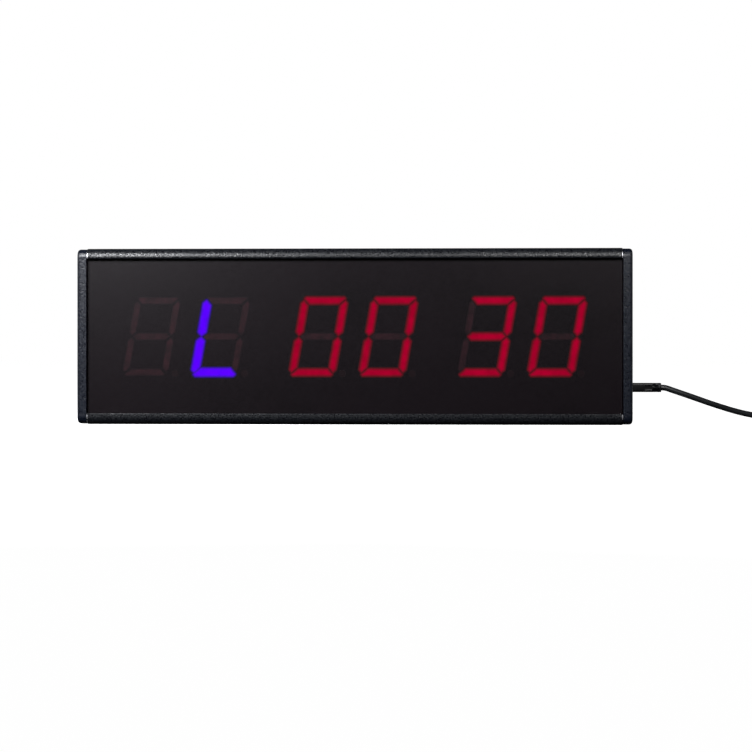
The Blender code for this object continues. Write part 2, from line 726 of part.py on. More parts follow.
def on_board(name, size, x, z, material):
    """A block that stands on the board's back."""
    node(name, block(name, size), material, (x, BOARD_BACK_Y + GAP + size[1] / 2, z))


def can_on_board(name, radius, height, x, z, material):
    """A round can that stands on the board's back."""
    profile = [(0, 0), (0, radius), (height - CAN_EDGE, radius), (height, radius - CAN_EDGE), (height, 0)]
    node(name, turned(name, profile, 24), material, (x, BOARD_BACK_Y + GAP, z), math.pi / 2)


def make_board_parts(finishes):
    chip, shell, white = finishes["chip"], finishes["black_plastic"], finishes["white_plastic"]
    on_board("controller_chip", CHIP_SIZE, CONTROLLER_X, DIGIT_Z, chip)
    on_board("crystal", CRYSTAL_SIZE, CONTROLLER_X, DIGIT_Z - CRYSTAL_DROP, finishes["steel"])
    for number, x in enumerate(DRIVERS_X, 1):
        on_board(f"driver_chip_{number}", CHIP_SIZE, x, DIGIT_Z, chip)
    on_board("voltage_regulator", REGULATOR_SIZE, CAP_INNER_X - REGULATOR_FROM_END, POWER_PARTS_Z, chip)
    capacitor = ("smoothing_capacitor", CAPACITOR_RADIUS, CAPACITOR_HEIGHT)
    can_on_board(*capacitor, CAP_INNER_X - CAPACITOR_FROM_END, POWER_PARTS_Z, finishes["sleeve"])
    can_on_board("buzzer", BUZZER_RADIUS, BUZZER_HEIGHT, BUZZER_X, BUZZER_Z, shell)
    receiver = (CAP_INNER_X - PAIR_ROOM / 2, BOARD_FRONT_Y - GAP - RECEIVER_SIZE[1] / 2, RECEIVER_Z)
    node("infrared_receiver", block("infrared_receiver", RECEIVER_SIZE), shell, receiver)
    header_x = CAP_INNER_X - HEADER_FROM_END
    connector_x = header_x + (HEADER_SIZE[0] + CONNECTOR_SIZE[0]) / 2 + GAP
    on_board("power_header", HEADER_SIZE, header_x, JACK_Z, white)
    on_board("power_connector", CONNECTOR_SIZE, connector_x, JACK_Z, white)
    make_wires(connector_x + CONNECTOR_SIZE[0] / 2 + GAP, finishes)


def make_wires(end_x, finishes):
    """The two wires from the jack's back to the connector."""
    end_y = BOARD_BACK_Y + GAP + CONNECTOR_SIZE[1] / 2
    straight = Vector((WIRE_END, 0, 0))
    for name, side in (("red_wire", 0.5), ("black_wire", -0.5)):
        start = Vector((JACK_BACK_X - GAP, JACK_Y, JACK_Z + side * WIRES_APART_AT_JACK))
        end = Vector((end_x, end_y, JACK_Z + side * WIRES_APART_AT_CONNECTOR))
        route = [start, start - straight, (start + end) / 2, end + straight, end]
        tube(name, smooth_route(route, WIRE_STEP), WIRE_RADIUS, 1, finishes[name])


# Power socket


def make_jack(finishes):
    """The jack, whose bushing passes through the end cap, and the nut that holds it there."""
    shoulder, mouth, pin = CAP_INNER_X - GAP, BARREL_RADIUS + GAP, BUSHING_END_X - SOCKET_PIN_RECESS
    floor = BARREL_TIP_X - SOCKET_FLOOR_ROOM
    profile = [(JACK_BACK_X, 0), (JACK_BACK_X, JACK_BODY_RADIUS), (JACK_FLANGE_X, JACK_BODY_RADIUS)]
    profile += [(JACK_FLANGE_X, JACK_FLANGE_RADIUS), (shoulder, JACK_FLANGE_RADIUS)]
    profile += [(shoulder, BUSHING_RADIUS), (BUSHING_END_X, BUSHING_RADIUS), (BUSHING_END_X, mouth)]
    profile += [(floor, mouth), (floor, SOCKET_PIN_RADIUS), (pin, SOCKET_PIN_RADIUS), (pin, 0)]
    place = (0, JACK_Y, JACK_Z)
    node("dc_jack", turned("dc_jack", profile, 24), finishes["black_plastic"], place)
    start, end = BUSHING_END_X - NUT_THICKNESS, BUSHING_END_X
    flats = prism("jack_nut", circle(NUT_RADIUS, 6), along_x, start, end)
    bore = prism("bore", circle(BUSHING_RADIUS + GAP, 24), along_x, start - CUT_PAST, end + CUT_PAST)
    node("jack_nut", combined(flats, [bore], "DIFFERENCE"), finishes["nickel"], place)


# Power lead


def make_plug(finishes, lead):
    """The barrel that goes into the jack, and the grip moulded round its tail, both from the grip's face."""
    shoulder, tip = -GAP, BARREL_TIP_X - GRIP_X
    end = shoulder + BARREL_TAIL
    profile = [(tip, BARREL_BORE), (tip, BARREL_RADIUS), (shoulder, BARREL_RADIUS)]
    profile += [(shoulder, BARREL_TAIL_RADIUS), (end, BARREL_TAIL_RADIUS), (end, BARREL_BORE)]
    place = (GRIP_X, JACK_Y, JACK_Z)
    node("plug_barrel", turned("plug_barrel", profile, 20, loop=True), finishes["nickel"], place, parent=lead)
    large = centred_rectangle(2 * GRIP_HALF_WIDTH, 2 * GRIP_HALF_HEIGHT, GRIP_CORNER, 4)
    small = grown(large, -GRIP_EDGE)
    levels = ((small, 0), (large, GRIP_EDGE), (large, GRIP_LENGTH - GRIP_EDGE), (small, GRIP_LENGTH))
    grip = skinned("plug_grip", [along_x(*level) for level in levels])
    pocket = prism("pocket", circle(BARREL_TAIL_RADIUS + GAP, 20), along_x, -CUT_PAST, end + GAP)
    node("plug_grip", combined(grip, [pocket], "DIFFERENCE"), finishes["cord"], place, parent=lead)


def coil_at(turn):
    """The centreline's radius and height after so many turns, with the rise over the tie."""
    layer = min(int(turn / (COIL_RUN + COIL_CLIMB)), COIL_LAYERS - 1)
    into = turn - layer * (COIL_RUN + COIL_CLIMB)
    run, climbed = min(into, COIL_RUN), max(0.0, into - COIL_RUN) / COIL_CLIMB
    bulge = COIL_BULGE * math.sin(math.pi * climbed)
    inwards = layer % 2 == 0
    radius = COIL_OUTER - COIL_PITCH * run - bulge if inwards else COIL_INNER + COIL_PITCH * run + bulge
    height = COIL_FLOOR + COIL_PITCH * (layer + climbed * climbed * (3 - 2 * climbed))
    from_tie = abs((math.pi / 2 - 2 * math.pi * turn) % (2 * math.pi) - math.pi)
    if from_tie < TIE_LIFT_SPREAD:
        height += TIE_LIFT * math.cos(from_tie / TIE_LIFT_SPREAD * math.pi / 2) ** 2
    return radius, height


def coil_points():
    """The coil's centreline, clockwise from above. It starts and ends along X at its rear side."""
    points = [Vector((COIL_X - COIL_END, COIL_SIDE_Y, COIL_FLOOR))]
    for step in range(COIL_TURNS * COIL_STEPS + 1):
        turn = step / COIL_STEPS
        radius, height = coil_at(turn)
        angle = math.pi / 2 - 2 * math.pi * turn
        points.append(Vector((COIL_X + radius * math.cos(angle), COIL_Y + radius * math.sin(angle), height)))
    return [*points, Vector((COIL_X + COIL_END, COIL_SIDE_Y, COIL_TOP))]


def least_gap(points, radius, apart):
    """The least clear distance between parts of a tube that lie more than apart along it."""
    walked, fine = 0.0, []
    for a, b in zip(points, points[1:]):
        fine += [(walked + (b - a).length * i / 4, a.lerp(b, i / 4)) for i in range(4)]
        walked += (b - a).length
    nearest = math.inf
    for i, (start, here) in enumerate(fine):
        others = [(here - there).length for end, there in fine[i + 1 :] if end - start > apart]
        nearest = min([nearest, *others])
    return nearest - 2 * radius


def eased(share):
    """A share from 0 to 1, made to start and end gently."""
    return (1 - math.cos(math.pi * min(max(share, 0.0), 1.0))) / 2


def lead_points():
    """The lead's centreline: out of the grip, down to the floor, and back to the coil's rear side."""
    begin, end = LEAD_ROUTE[1][0], LEAD_ROUTE[-2][0]
    backs = [JACK_Y + COIL_BACK * eased((past - begin) / (end - begin)) for past, z in LEAD_ROUTE]
    route = [(GRIP_END_X + past, y, z) for (past, z), y in zip(LEAD_ROUTE, backs)]
    return straight_ended(route, CORD_STEP)


def tail_points(start):
    """The tail's centreline: off the coil's top, to the socket's plane, and then down to the adapter."""
    end = Vector((RELIEF_TIP_X - GAP, JACK_Y, ADAPTER_HEIGHT / 2))
    run = end.x - start.x - 2 * CORD_END
    route = [start]
    for i in range(TAIL_POINTS + 1):
        share = i / TAIL_POINTS
        y = start.y + (end.y - start.y) * eased(share)
        z = start.z + (end.z - start.z) * eased(2 * share - 1)
        route.append((start.x + CORD_END + run * share, y, z))
    return straight_ended([*route, end], TAIL_STEP)


def make_cord(cord, lead):
    """The cord in three stretches that meet face to face: from the grip, the coil, and to the adapter."""
    first = lead_points()
    coil = coil_points()
    tail = tail_points(coil[-1] + Vector((GAP, 0, 0)))
    tube("lead", first, CORD_RADIUS, 2, cord, lead)
    tube("lead_coil", coil, CORD_RADIUS, 1, cord, lead)
    tube("lead_tail", tail, CORD_RADIUS, 2, cord, lead)
    total = length_of(first) + length_of(coil) + length_of(tail)
    gap = least_gap(coil, CORD_RADIUS, 2 * math.pi * COIL_INNER / 4)
    print(f"cord length {total:.4f} m, least gap of the coil to itself {gap * 1000:.2f} mm")


def make_tie(strap, lead):
    """The strap round the coil, on its side towards the case."""
    inner_side = COIL_INNER - COIL_BULGE - CORD_RADIUS - GAP - TIE_SIDE_ROOM
    low = (COIL_X - COIL_OUTER - CORD_RADIUS - GAP, TIE_THICKNESS)
    high = (COIL_X - inner_side, COIL_TOP + TIE_LIFT + CORD_RADIUS + GAP)
    inner = rounded_rectangle(low, high, (TIE_CORNER,) * 4, 4)
    outer = grown(inner, TIE_THICKNESS)
    front, back = COIL_Y - TIE_WIDTH / 2, COIL_Y + TIE_WIDTH / 2
    rings = [along_y(outer, front), along_y(outer, back), along_y(inner, back), along_y(inner, front)]
    mesh = moved_mesh(skinned("lead_tie", rings, loop=True), -lead.location)
    node("lead_tie", mesh, strap, lead.location, parent=lead)


def adapter_half(name, outline, height):
    """A case half with its closed end down and its edge there rounded."""
    rings = []
    for i in range(4):
        angle = math.radians(90 * i / 3)
        inset = ADAPTER_EDGE * (1 - math.sin(angle))
        rings.append(along_z(grown(outline, -inset), ADAPTER_EDGE * (1 - math.cos(angle))))
    return skinned(name, [*rings, along_z(outline, height)])


def make_adapter(finishes, lead):
    """The adapter: two case halves, two blades that stick up out of the upper one, and the cord's relief."""
    profile = [(0, 0), (0, RELIEF_TIP_RADIUS), (RELIEF_LENGTH, RELIEF_ROOT_RADIUS), (RELIEF_LENGTH, 0)]
    relief = turned("adapter_strain_relief", profile, 20)
    place = (RELIEF_TIP_X, JACK_Y, ADAPTER_HEIGHT / 2)
    node("adapter_strain_relief", relief, finishes["cord"], place, parent=lead)
    middle = ADAPTER_X + ADAPTER_LENGTH / 2
    outline = centred_rectangle(ADAPTER_LENGTH, ADAPTER_WIDTH, ADAPTER_CORNER, 5)
    base = adapter_half("adapter_base", outline, ADAPTER_HEIGHT - ADAPTER_LID - GAP)
    node("adapter_base", base, finishes["black_plastic"], (middle, JACK_Y, 0), parent=lead)
    lid = adapter_half("adapter_lid", outline, ADAPTER_LID)
    lid.transform(Matrix.Rotation(math.pi, 4, "X"))
    size = (BLADE_WIDTH, BLADE_THICKNESS, BLADE_OUT + BLADE_IN)
    rise = size[2] / 2 - BLADE_IN
    slot = [side + 2 * GAP for side in size]
    places = [(0, side * BLADE_SPACING / 2, rise) for side in (-1, 1)]
    slots = [moved_mesh(block("slot", slot), place) for place in places]
    lid = combined(lid, slots, "DIFFERENCE")
    node("adapter_lid", lid, finishes["black_plastic"], (middle, JACK_Y, ADAPTER_HEIGHT), parent=lead)
    blade = block("adapter_blade", size)
    for number, (x, y, z) in enumerate(places, 1):
        place = (middle + x, JACK_Y + y, ADAPTER_HEIGHT + z)
        node(f"adapter_blade_{number}", blade, finishes["nickel"], place, parent=lead)


def make_lead(finishes):
    """Everything that moves with the plug, on an empty on the socket's axis."""
    lead = bpy.data.objects.new("power_lead", None)
    lead.location = (GRIP_X, JACK_Y, JACK_Z)
    bpy.context.scene.collection.objects.link(lead)
    make_plug(finishes, lead)
    make_cord(finishes["cord"], lead)
    make_tie(finishes["strap"], lead)
    make_adapter(finishes, lead)


def make_finishes():
    return {
        "coat": finish("black_powder_coat", (0.030, 0.031, 0.036), 0.55),
        "acrylic": finish("smoked_acrylic", (0.012, 0.011, 0.013), 0.12, alpha=0.55),
        "film": finish("black_mask_film", (0.018, 0.016, 0.019), 0.50),
        "back_sheet": finish("black_back_sheet", (0.022, 0.022, 0.024), 0.60),
        "black_plastic": finish("black_plastic", (0.020, 0.020, 0.022), 0.45),
        "white_plastic": finish("white_plastic", (0.75, 0.74, 0.70), 0.50),
        "resin": finish("segment_resin", (0.34, 0.02, 0.04), 0.40),
        "laminate": finish("black_laminate", (0.012, 0.016, 0.013), 0.50),
        "chip": finish("chip_resin", (0.025, 0.025, 0.026), 0.55),
        "sleeve": finish("capacitor_sleeve", (0.020, 0.025, 0.060), 0.35),
        "steel": finish("black_zinc_steel", (0.10, 0.10, 0.105), 0.35, 1.0),
        "nickel": finish("nickel_plate", (0.66, 0.64, 0.60), 0.28, 1.0),
        "cord": finish("black_cord", (0.015, 0.016, 0.018), 0.45),
        "strap": finish("black_strap", (0.018, 0.018, 0.020), 0.80),
        "red_wire": finish("red_wire", (0.45, 0.02, 0.02), 0.45),
        "black_wire": finish("black_wire", (0.02, 0.02, 0.02), 0.45),
    }


def main():
    clear_scene()
    finishes = make_finishes()
    make_rails(finishes["coat"])
    make_caps(finishes["coat"])
    make_screws(finishes["steel"])
    make_front_panel(finishes["acrylic"])
    make_back_panel(finishes["back_sheet"])
    make_mask_sheet(finishes["film"])
    make_digits(finishes["black_plastic"], finishes["resin"])
    make_board(finishes["laminate"])
    make_board_parts(finishes)
    make_jack(finishes)
    make_lead(finishes)


main()
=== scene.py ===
"""The gym timer's looks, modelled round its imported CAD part.

Lengths are in metres in the part's own frame: +X to the viewer's right, +Y to the back and +Z up.
"""

import math

import bmesh
import bpy
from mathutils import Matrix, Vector


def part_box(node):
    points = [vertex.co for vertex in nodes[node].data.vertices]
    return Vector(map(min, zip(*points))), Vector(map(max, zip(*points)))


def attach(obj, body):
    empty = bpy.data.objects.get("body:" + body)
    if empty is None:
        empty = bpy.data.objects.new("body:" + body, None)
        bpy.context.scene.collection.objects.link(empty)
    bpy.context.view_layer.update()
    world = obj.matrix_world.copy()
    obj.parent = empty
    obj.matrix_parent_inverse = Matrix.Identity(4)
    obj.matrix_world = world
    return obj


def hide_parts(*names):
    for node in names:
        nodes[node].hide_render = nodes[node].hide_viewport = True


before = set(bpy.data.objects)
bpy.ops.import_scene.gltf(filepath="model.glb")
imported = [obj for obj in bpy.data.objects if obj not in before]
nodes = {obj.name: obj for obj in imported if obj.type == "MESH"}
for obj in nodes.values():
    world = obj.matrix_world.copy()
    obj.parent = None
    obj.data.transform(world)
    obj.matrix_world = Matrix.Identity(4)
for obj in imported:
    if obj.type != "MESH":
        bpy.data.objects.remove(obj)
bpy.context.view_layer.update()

# Camera, with the case's middle at a named pixel of the photograph
PHOTO_SIDE = 752
CASE_MIDDLE_PIXEL = (354.4, 336.5)
CAMERA_DISTANCE = 1.5
CAMERA_TURN = math.radians(2.7)
CAMERA_LENS = 97.2
CAMERA_REACH = 50

# Case
CASE_HALF_DEPTH = 0.020
CASE_HALF_HEIGHT = 0.0645
CASE_MIDDLE = Vector((0, 0, CASE_HALF_HEIGHT))
FRONT_RADIUS = 0.006
REAR_RADIUS = 0.0035
RAIL_CHAMFER = 0.0004
LIP_EDGE = 0.0007  # rounding of the lower front lip towards the panel
LIP_ENDS = {"top_rail": 0.1223, "bottom_rail": 0.0079}
LIP_MOVES = {"top_rail": -0.0006, "bottom_rail": 0.0002}  # the lips' soft edges past their CAD solids
LIP_BACK_Y = -0.0170
WORN_WIDTH = 0.0007
WORN_PLACES = {
    ("top_rail", -1): ((0.1217, 0.1256),),
    ("top_rail", 1): ((0.1217, 0.1259),),
    ("bottom_rail", -1): ((0.0009, 0.0031), (0.0042, 0.0073)),
    ("bottom_rail", 1): ((0.0042, 0.0076),),
}

# What counts as one point, one place and one flat face, and as a sharp edge
MERGE = 0.000002
SKIN = 0.00003
FLAT = math.radians(0.4)
SHARP = math.radians(60)
# What share of an edge or a normal lies along an axis that it follows
ALONG = 0.95
FACING = 0.9
SQUARE = 0.99

# Digits
DIGIT_SLANT = math.radians(10)
SEGMENT_PLACES = {
    "a": (0.0, 0.0264),
    "b": (0.01435, 0.0150),
    "c": (0.01435, -0.0150),
    "d": (0.0, -0.0264),
    "e": (-0.01435, -0.0150),
    "f": (-0.01435, 0.0150),
    "g": (0.0, 0.0),
    "point": (0.0225, -0.0275),
}
LIT_SEGMENTS = {1: "", 2: "fed", 3: "abcdef", 4: "abcdef", 5: "abcdg", 6: "abcdef"}
BLUE_DIGIT = 2
SEGMENT_DRAFT = 0.00004
UNLIT_SHADED_RIM = 0.0007  # width of an unlit segment's rim, painted darker as shade at the segment's edge
SEGMENT_RISE = 0.00062  # from a light guide's face to the mask sheet's
# Levels of a lit segment's glow, from the faint rim to the bright core: how far its outline is widened, and
# its share of the light
GLOW_SPREADS = {
    "red": (0.0013, 0.0007, -0.0001, -0.0008, -0.0015),
    "blue": (0.0017, 0.0010, 0.0003, -0.0004, -0.0012),
}
GLOW_SHARES = {"red": (0.07, 0.27, 0.58, 0.84, 1.0), "blue": (0.08, 0.33, 0.67, 0.88, 1.0)}
GLOW_CORNER = 0.0002  # cut off the outlines' corners, so that they widen without spikes
GLOW_BLOCK = 0.006  # depth of a plate's block before it is pressed flat
GLOW_PLATE = 0.00002
GLOW_STEP = 0.00004

# Power lead, on nearly the part's own route, with a slightly thicker cord
SOCKET_Y = 0.0078
CORD_DIAMETER = 0.0044
LEAD_ROUTE = (
    (0.2250, 0.0269),
    (0.2292, 0.0266),
    (0.2335, 0.0252),
    (0.2379, 0.0237),
    (0.2458, 0.0210),
    (0.2541, 0.0181),
    (0.2630, 0.0150),
    (0.2730, 0.0118),
    (0.2830, 0.0089),
    (0.2930, 0.0066),
    (0.3030, 0.0048),
    (0.3130, 0.0034),
    (0.3230, 0.0026),
    (0.3330, 0.0023),
    (0.3400, 0.00225),
)
COIL_BACK = 0.0180  # of its rear side from the socket's plane
COIL_X = 0.3500
COIL_RADIUS = 0.02361
COIL_PITCH = 0.0046
COIL_TURNS = 9
COIL_LAYERS = 4
COIL_CLIMB = 0.5
COIL_BULGE = 0.0007
COIL_STEPS = 24
COIL_FLOOR = 0.00225
TIE_LIFT = 0.0014
TIE_LIFT_SPREAD = math.radians(50)
TAIL_ENDS = ((0.3573, 0.01585), (0.3977, 0.0135))
TAIL_POINTS = 8
CORD_TIP_X = 0.412

# Plug grip
GRIP_CORNER = 0.0014
GRIP_EDGE = 0.0004
GRIP_SHORTER = 0.0011  # than its CAD solid, and fuller all round
GRIP_FULLER = 0.0001
GRIP_PAD = (0.2136, 0.2193)  # from where to where along X
GRIP_PAD_DRAFT = 0.0004
GRIP_PAD_DEPTH = 0.00025
GRIP_SCOOP = {0.2204: 0.80, 0.2216: 0.62, 0.2228: 0.62, 0.2240: 0.80}  # the waist's width at places along X
GRIP_SCOOP_END = 0.2252
GRIP_CREST = 0.0005  # half the height that the waist leaves full width

# Strain relief and strap
RELIEF_SIDES = 32
RELIEF_RADII = (0.0027, 0.0045)
RELIEF_EDGE = 0.0005
RELIEF_RINGS = 5
RELIEF_GROOVE = 0.80
RELIEF_CUTS = (-0.2, -0.1, 0.1, 0.2)  # of the rings' pitch, round each ring
TIE_EDGE = 0.0003
TONGUE_ROOM = (0.003, 0.005)  # from the strap's sides along X
TONGUE_OVER = 0.0002  # past the band's sides and into its top
TONGUE_RISE = 0.0009
TONGUE_CORNER = 0.0025

# Wall adapter
ADAPTER_CORNER = 0.005
ADAPTER_EDGE = 0.002
LID_BORDER = 0.0014  # less than the corner's radius, so that the field keeps round corners
LID_FIELD_DRAFT = 0.0002
LID_FIELD_DEPTH = 0.0004
RIB_COUNT = 10
RIB_PITCH = 0.0030
RIB_WIDTH = 0.0016
RIB_ENDS = (0.005, 0.003)  # from the base's bottom and top
RIB_DRAFT = 0.0002
RIB_DEPTH = 0.0006
BLADE_TIP = 0.0012
BLADE_EDGE = 0.00015
BLADE_HOLE = 0.0016
BLADE_HOLE_DOWN = 0.0045  # from the tip
BLADE_CUT = 0.006  # length of the cutter through a blade

# Light of the segments, and blacks of the powder coat
GLOW_GREY = 0.014  # of the plates, where they shine least
GLOW_UNEVEN = 0.13
RED = (1.0, 0.0, 0.060)
BLUE = (0.1, 0.0, 1.0)
RED_STRENGTH = 0.56
BLUE_STRENGTH = 1.65
RAIL_BLACKS = ((0.002, 0.002, 0.003), (0.006, 0.007, 0.009))
CAP_BLACKS = ((0.001, 0.0015, 0.004), (0.004, 0.006, 0.012))

# Studio's lamps, the walls that only gloss sees, and the floor
KEY_LIGHT = {
    "place": (-0.33, -0.50, 0.37),
    "aim": (-0.14, 0, CASE_HALF_HEIGHT),
    "size": (0.22, 0.18),
    "power": 8.6,
    "colour": (0.96, 0.97, 1.0),
}
FILL_LIGHT = {
    "place": (0.27, -0.60, 0.40),
    "aim": (0.15, 0, CASE_HALF_HEIGHT),
    "size": (0.2, 0.16),
    "power": 3.4,
    "colour": (1, 1, 1),
}
# Directions between which the walls that gloss sees come in, and how bright the walls and the room are
WALL_BEHIND_Y = (-0.8, 0.05)
WALL_TOP_Z = (0.25, 0.5)
WALL_DIMS_X = (-0.45, 0.08)
WALL_DIMMED = 0.12
WALL_RIGHT_X = (0.25, 0.6)
WALL_RIGHT = 0.8
ROOM_GLOSS = 0.012
ROOM_LIGHT = 0.08
FLOOR_SIDE = 8
FLOOR_GLOW = 0.93


# Modelling by hand


def pick_only(piece):
    """Leaves that piece alone selected, and active."""
    bpy.ops.object.select_all(action="DESELECT")
    piece.select_set(True)
    bpy.context.view_layer.objects.active = piece


def open_mesh(piece):
    """Opens the piece in edit mode with nothing selected."""
    pick_only(piece)
    bpy.ops.object.mode_set(mode="EDIT")
    bpy.ops.mesh.select_all(action="DESELECT")


def close_mesh():
    bpy.ops.object.mode_set(mode="OBJECT")


def choose(kind, test):
    """Selects the vertices, edges or faces of the open mesh that pass the test."""
    bpy.ops.mesh.select_mode(type=kind)
    bpy.ops.mesh.select_all(action="DESELECT")
    mesh = bpy.context.edit_object.data
    shape = bmesh.from_edit_mesh(mesh)
    members = {"VERT": shape.verts, "EDGE": shape.edges, "FACE": shape.faces}[kind]
    for member in members:
        if test(member):
            member.select_set(True)
    bmesh.update_edit_mesh(mesh)


def choose_all():
    bpy.ops.mesh.select_all(action="SELECT")


def cut_across(places, axis):
    """Cuts the open mesh with planes across X, Y or Z."""
    normal = [0, 0, 0]
    normal[axis] = 1
    for place in places:
        point = [0, 0, 0]
        point[axis] = place
        choose_all()
        bpy.ops.mesh.bisect(plane_co=point, plane_no=normal)


def scale_chosen(value, centre):
    bpy.ops.transform.resize(value=value, center_override=centre)


def block(name, low, high):
    """A box between two corners, as a start."""
    bpy.ops.object.select_all(action="DESELECT")
    low, high = Vector(low), Vector(high)
    bpy.ops.mesh.primitive_cube_add(size=1, location=(low + high) / 2)
    piece = bpy.context.object
    piece.name = name
    piece.scale = high - low
    bpy.ops.object.transform_apply(location=True, rotation=True, scale=True)
    return piece


def smooth(piece, angle=30):
    """Smooths the piece's shading over its small faces, and leaves its large ones flat."""
    pick_only(piece)
    bpy.ops.object.shade_smooth_by_angle(angle=math.radians(angle))
    modifier = piece.modifiers.new("even_shading", "WEIGHTED_NORMAL")
    modifier.keep_sharp = True
    bpy.ops.object.modifier_apply(modifier=modifier.name)


def give(piece, *finishes):
    """Gives the piece its finishes in place of any that it has."""
    piece.data.materials.clear()
    for finish in finishes:
        piece.data.materials.append(finish)


def ready(piece, body, slot, *replaced):
    """Says which body the piece rides on, and the CAD nodes that it stands for; the slot argument is not
    used.
    """
    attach(piece, body)
    if replaced:
        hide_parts(*replaced)


def merged_copy(node, name):
    """A new piece with a CAD node's shape, its loose triangles merged into whole faces."""
    piece = bpy.data.objects.new(name, nodes[node].data.copy())
    bpy.context.scene.collection.objects.link(piece)
    open_mesh(piece)
    choose_all()
    bpy.ops.mesh.remove_doubles(threshold=MERGE)
    bpy.ops.mesh.dissolve_limited(angle_limit=FLAT)
    close_mesh()
    bpy.ops.mesh.customdata_custom_splitnormals_clear()
    return piece


def along(edge, axis):
    """True if the edge runs along that axis."""
    run = edge.verts[1].co - edge.verts[0].co
    return abs(run[axis]) > ALONG * run.length


def edge_middle(edge):
    return (edge.verts[0].co + edge.verts[1].co) / 2


# Finishes


def new_finish(name, colour, roughness, metallic=0.0, specular=0.5):
    finish = bpy.data.materials.new(name)
    finish.use_nodes = True
    shader = shader_of(finish)
    shader.inputs["Base Color"].default_value = (*colour, 1)
    shader.inputs["Roughness"].default_value = roughness
    shader.inputs["Metallic"].default_value = metallic
    shader.inputs["Specular IOR Level"].default_value = specular
    return finish


def shader_of(finish):
    return finish.node_tree.nodes["Principled BSDF"]


def place_of(finish):
    """The piece's own coordinates, in metres."""
    return finish.node_tree.nodes.new("ShaderNodeTexCoord").outputs["Object"]


def grain(finish, scale, detail=2.0, stretch=(1, 1, 1)):
    """A noise on the piece's own coordinates, squeezed by stretch."""
    tree = finish.node_tree
    mapping = tree.nodes.new("ShaderNodeMapping")
    mapping.inputs["Scale"].default_value = stretch
    noise = tree.nodes.new("ShaderNodeTexNoise")
    noise.inputs["Scale"].default_value = scale
    noise.inputs["Detail"].default_value = detail
    tree.links.new(place_of(finish), mapping.inputs["Vector"])
    tree.links.new(mapping.outputs["Vector"], noise.inputs["Vector"])
    return noise.outputs["Fac"]


def value_between(finish, factor, low, high, start=0.3, end=0.7):
    """A value from low, where factor is start, to high, where it is end."""
    reach = finish.node_tree.nodes.new("ShaderNodeMapRange")
    reach.inputs["From Min"].default_value = start
    reach.inputs["From Max"].default_value = end
    reach.inputs["To Min"].default_value = low
    reach.inputs["To Max"].default_value = high
    finish.node_tree.links.new(factor, reach.inputs["Value"])
    return reach.outputs["Result"]


def colour_between(finish, factor, dark, light, start=0.3, end=0.7):
    """A colour from dark, where factor is start, to light, where it is end."""
    ramp = finish.node_tree.nodes.new("ShaderNodeValToRGB")
    ramp.color_ramp.elements[0].position = start
    ramp.color_ramp.elements[0].color = (*dark, 1)
    ramp.color_ramp.elements[1].position = end
    ramp.color_ramp.elements[1].color = (*light, 1)
    finish.node_tree.links.new(factor, ramp.inputs["Fac"])
    return ramp.outputs["Color"]


def reckon(finish, operation, first, second):
    """A Math node on two sockets or numbers."""
    math_node = finish.node_tree.nodes.new("ShaderNodeMath")
    math_node.operation = operation
    for socket, value in zip(math_node.inputs, (first, second)):
        if isinstance(value, (int, float)):
            socket.default_value = value
        else:
            finish.node_tree.links.new(value, socket)
    return math_node.outputs["Value"]


def drive(finish, socket, output):
    finish.node_tree.links.new(output, shader_of(finish).inputs[socket])


def bump(finish, height, distance):
    """Raises the surface by height, at most that distance."""
    relief = finish.node_tree.nodes.new("ShaderNodeBump")
    relief.inputs["Distance"].default_value = distance
    finish.node_tree.links.new(height, relief.inputs["Height"])
    drive(finish, "Normal", relief.outputs["Normal"])


def powder_coat(name, dark, light, roughness, speckle, relief):
    """Powder coat, its lumps and pits of about a millimetre each a little glossier or duller."""
    finish = new_finish(name, light, roughness, specular=0.32)
    fine = grain(finish, 1000, 2)
    peel = grain(finish, 500, 2)
    drive(finish, "Base Color", colour_between(finish, fine, dark, light))
    low, high = roughness - speckle, roughness + speckle
    drive(finish, "Roughness", value_between(finish, fine, low, high, 0.35, 0.65))
    bump(finish, reckon(finish, "ADD", fine, peel), relief)
    return finish


def worn_edge():
    """Bare aluminium where the coat is rubbed off, with some coat left."""
    coat, metal = (0.018, 0.02, 0.026), (0.6, 0.6, 0.63)
    finish = new_finish("worn_rail_edge", metal, 0.46, 1.0)
    patches = grain(finish, 700, 2)
    left = value_between(finish, patches, 0.0, 1.0, 0.26, 0.34)
    drive(finish, "Base Color", colour_between(finish, left, coat, metal, 0.1, 0.9))
    drive(finish, "Metallic", left)
    drive(finish, "Roughness", value_between(finish, grain(finish, 2400, 2), 0.40, 0.52))
    return finish


def smoked_acrylic():
    """Smoked sheet that darkens what is behind it, with a fine haze of rubbing in its gloss."""
    finish = new_finish("smoked_acrylic", (0.001, 0.001, 0.001), 0.1, specular=0.5)
    shader_of(finish).inputs["Alpha"].default_value = 0.2
    drive(finish, "Roughness", value_between(finish, grain(finish, 60, 3), 0.08, 0.13))
    return finish


def mask_film():
    """Matt black film, slightly cloudy."""
    dark, light = (0.003, 0.001, 0.0025), (0.0065, 0.003, 0.0055)
    finish = new_finish("mask_film", light, 0.42, specular=0.28)
    fine = grain(finish, 900, 3)
    cloud = grain(finish, 16, 2)
    shade = reckon(finish, "ADD", fine, cloud)
    drive(finish, "Base Color", colour_between(finish, shade, dark, light, 0.7, 1.3))
    drive(finish, "Roughness", value_between(finish, fine, 0.36, 0.43))
    bump(finish, fine, 0.00005)
    return finish


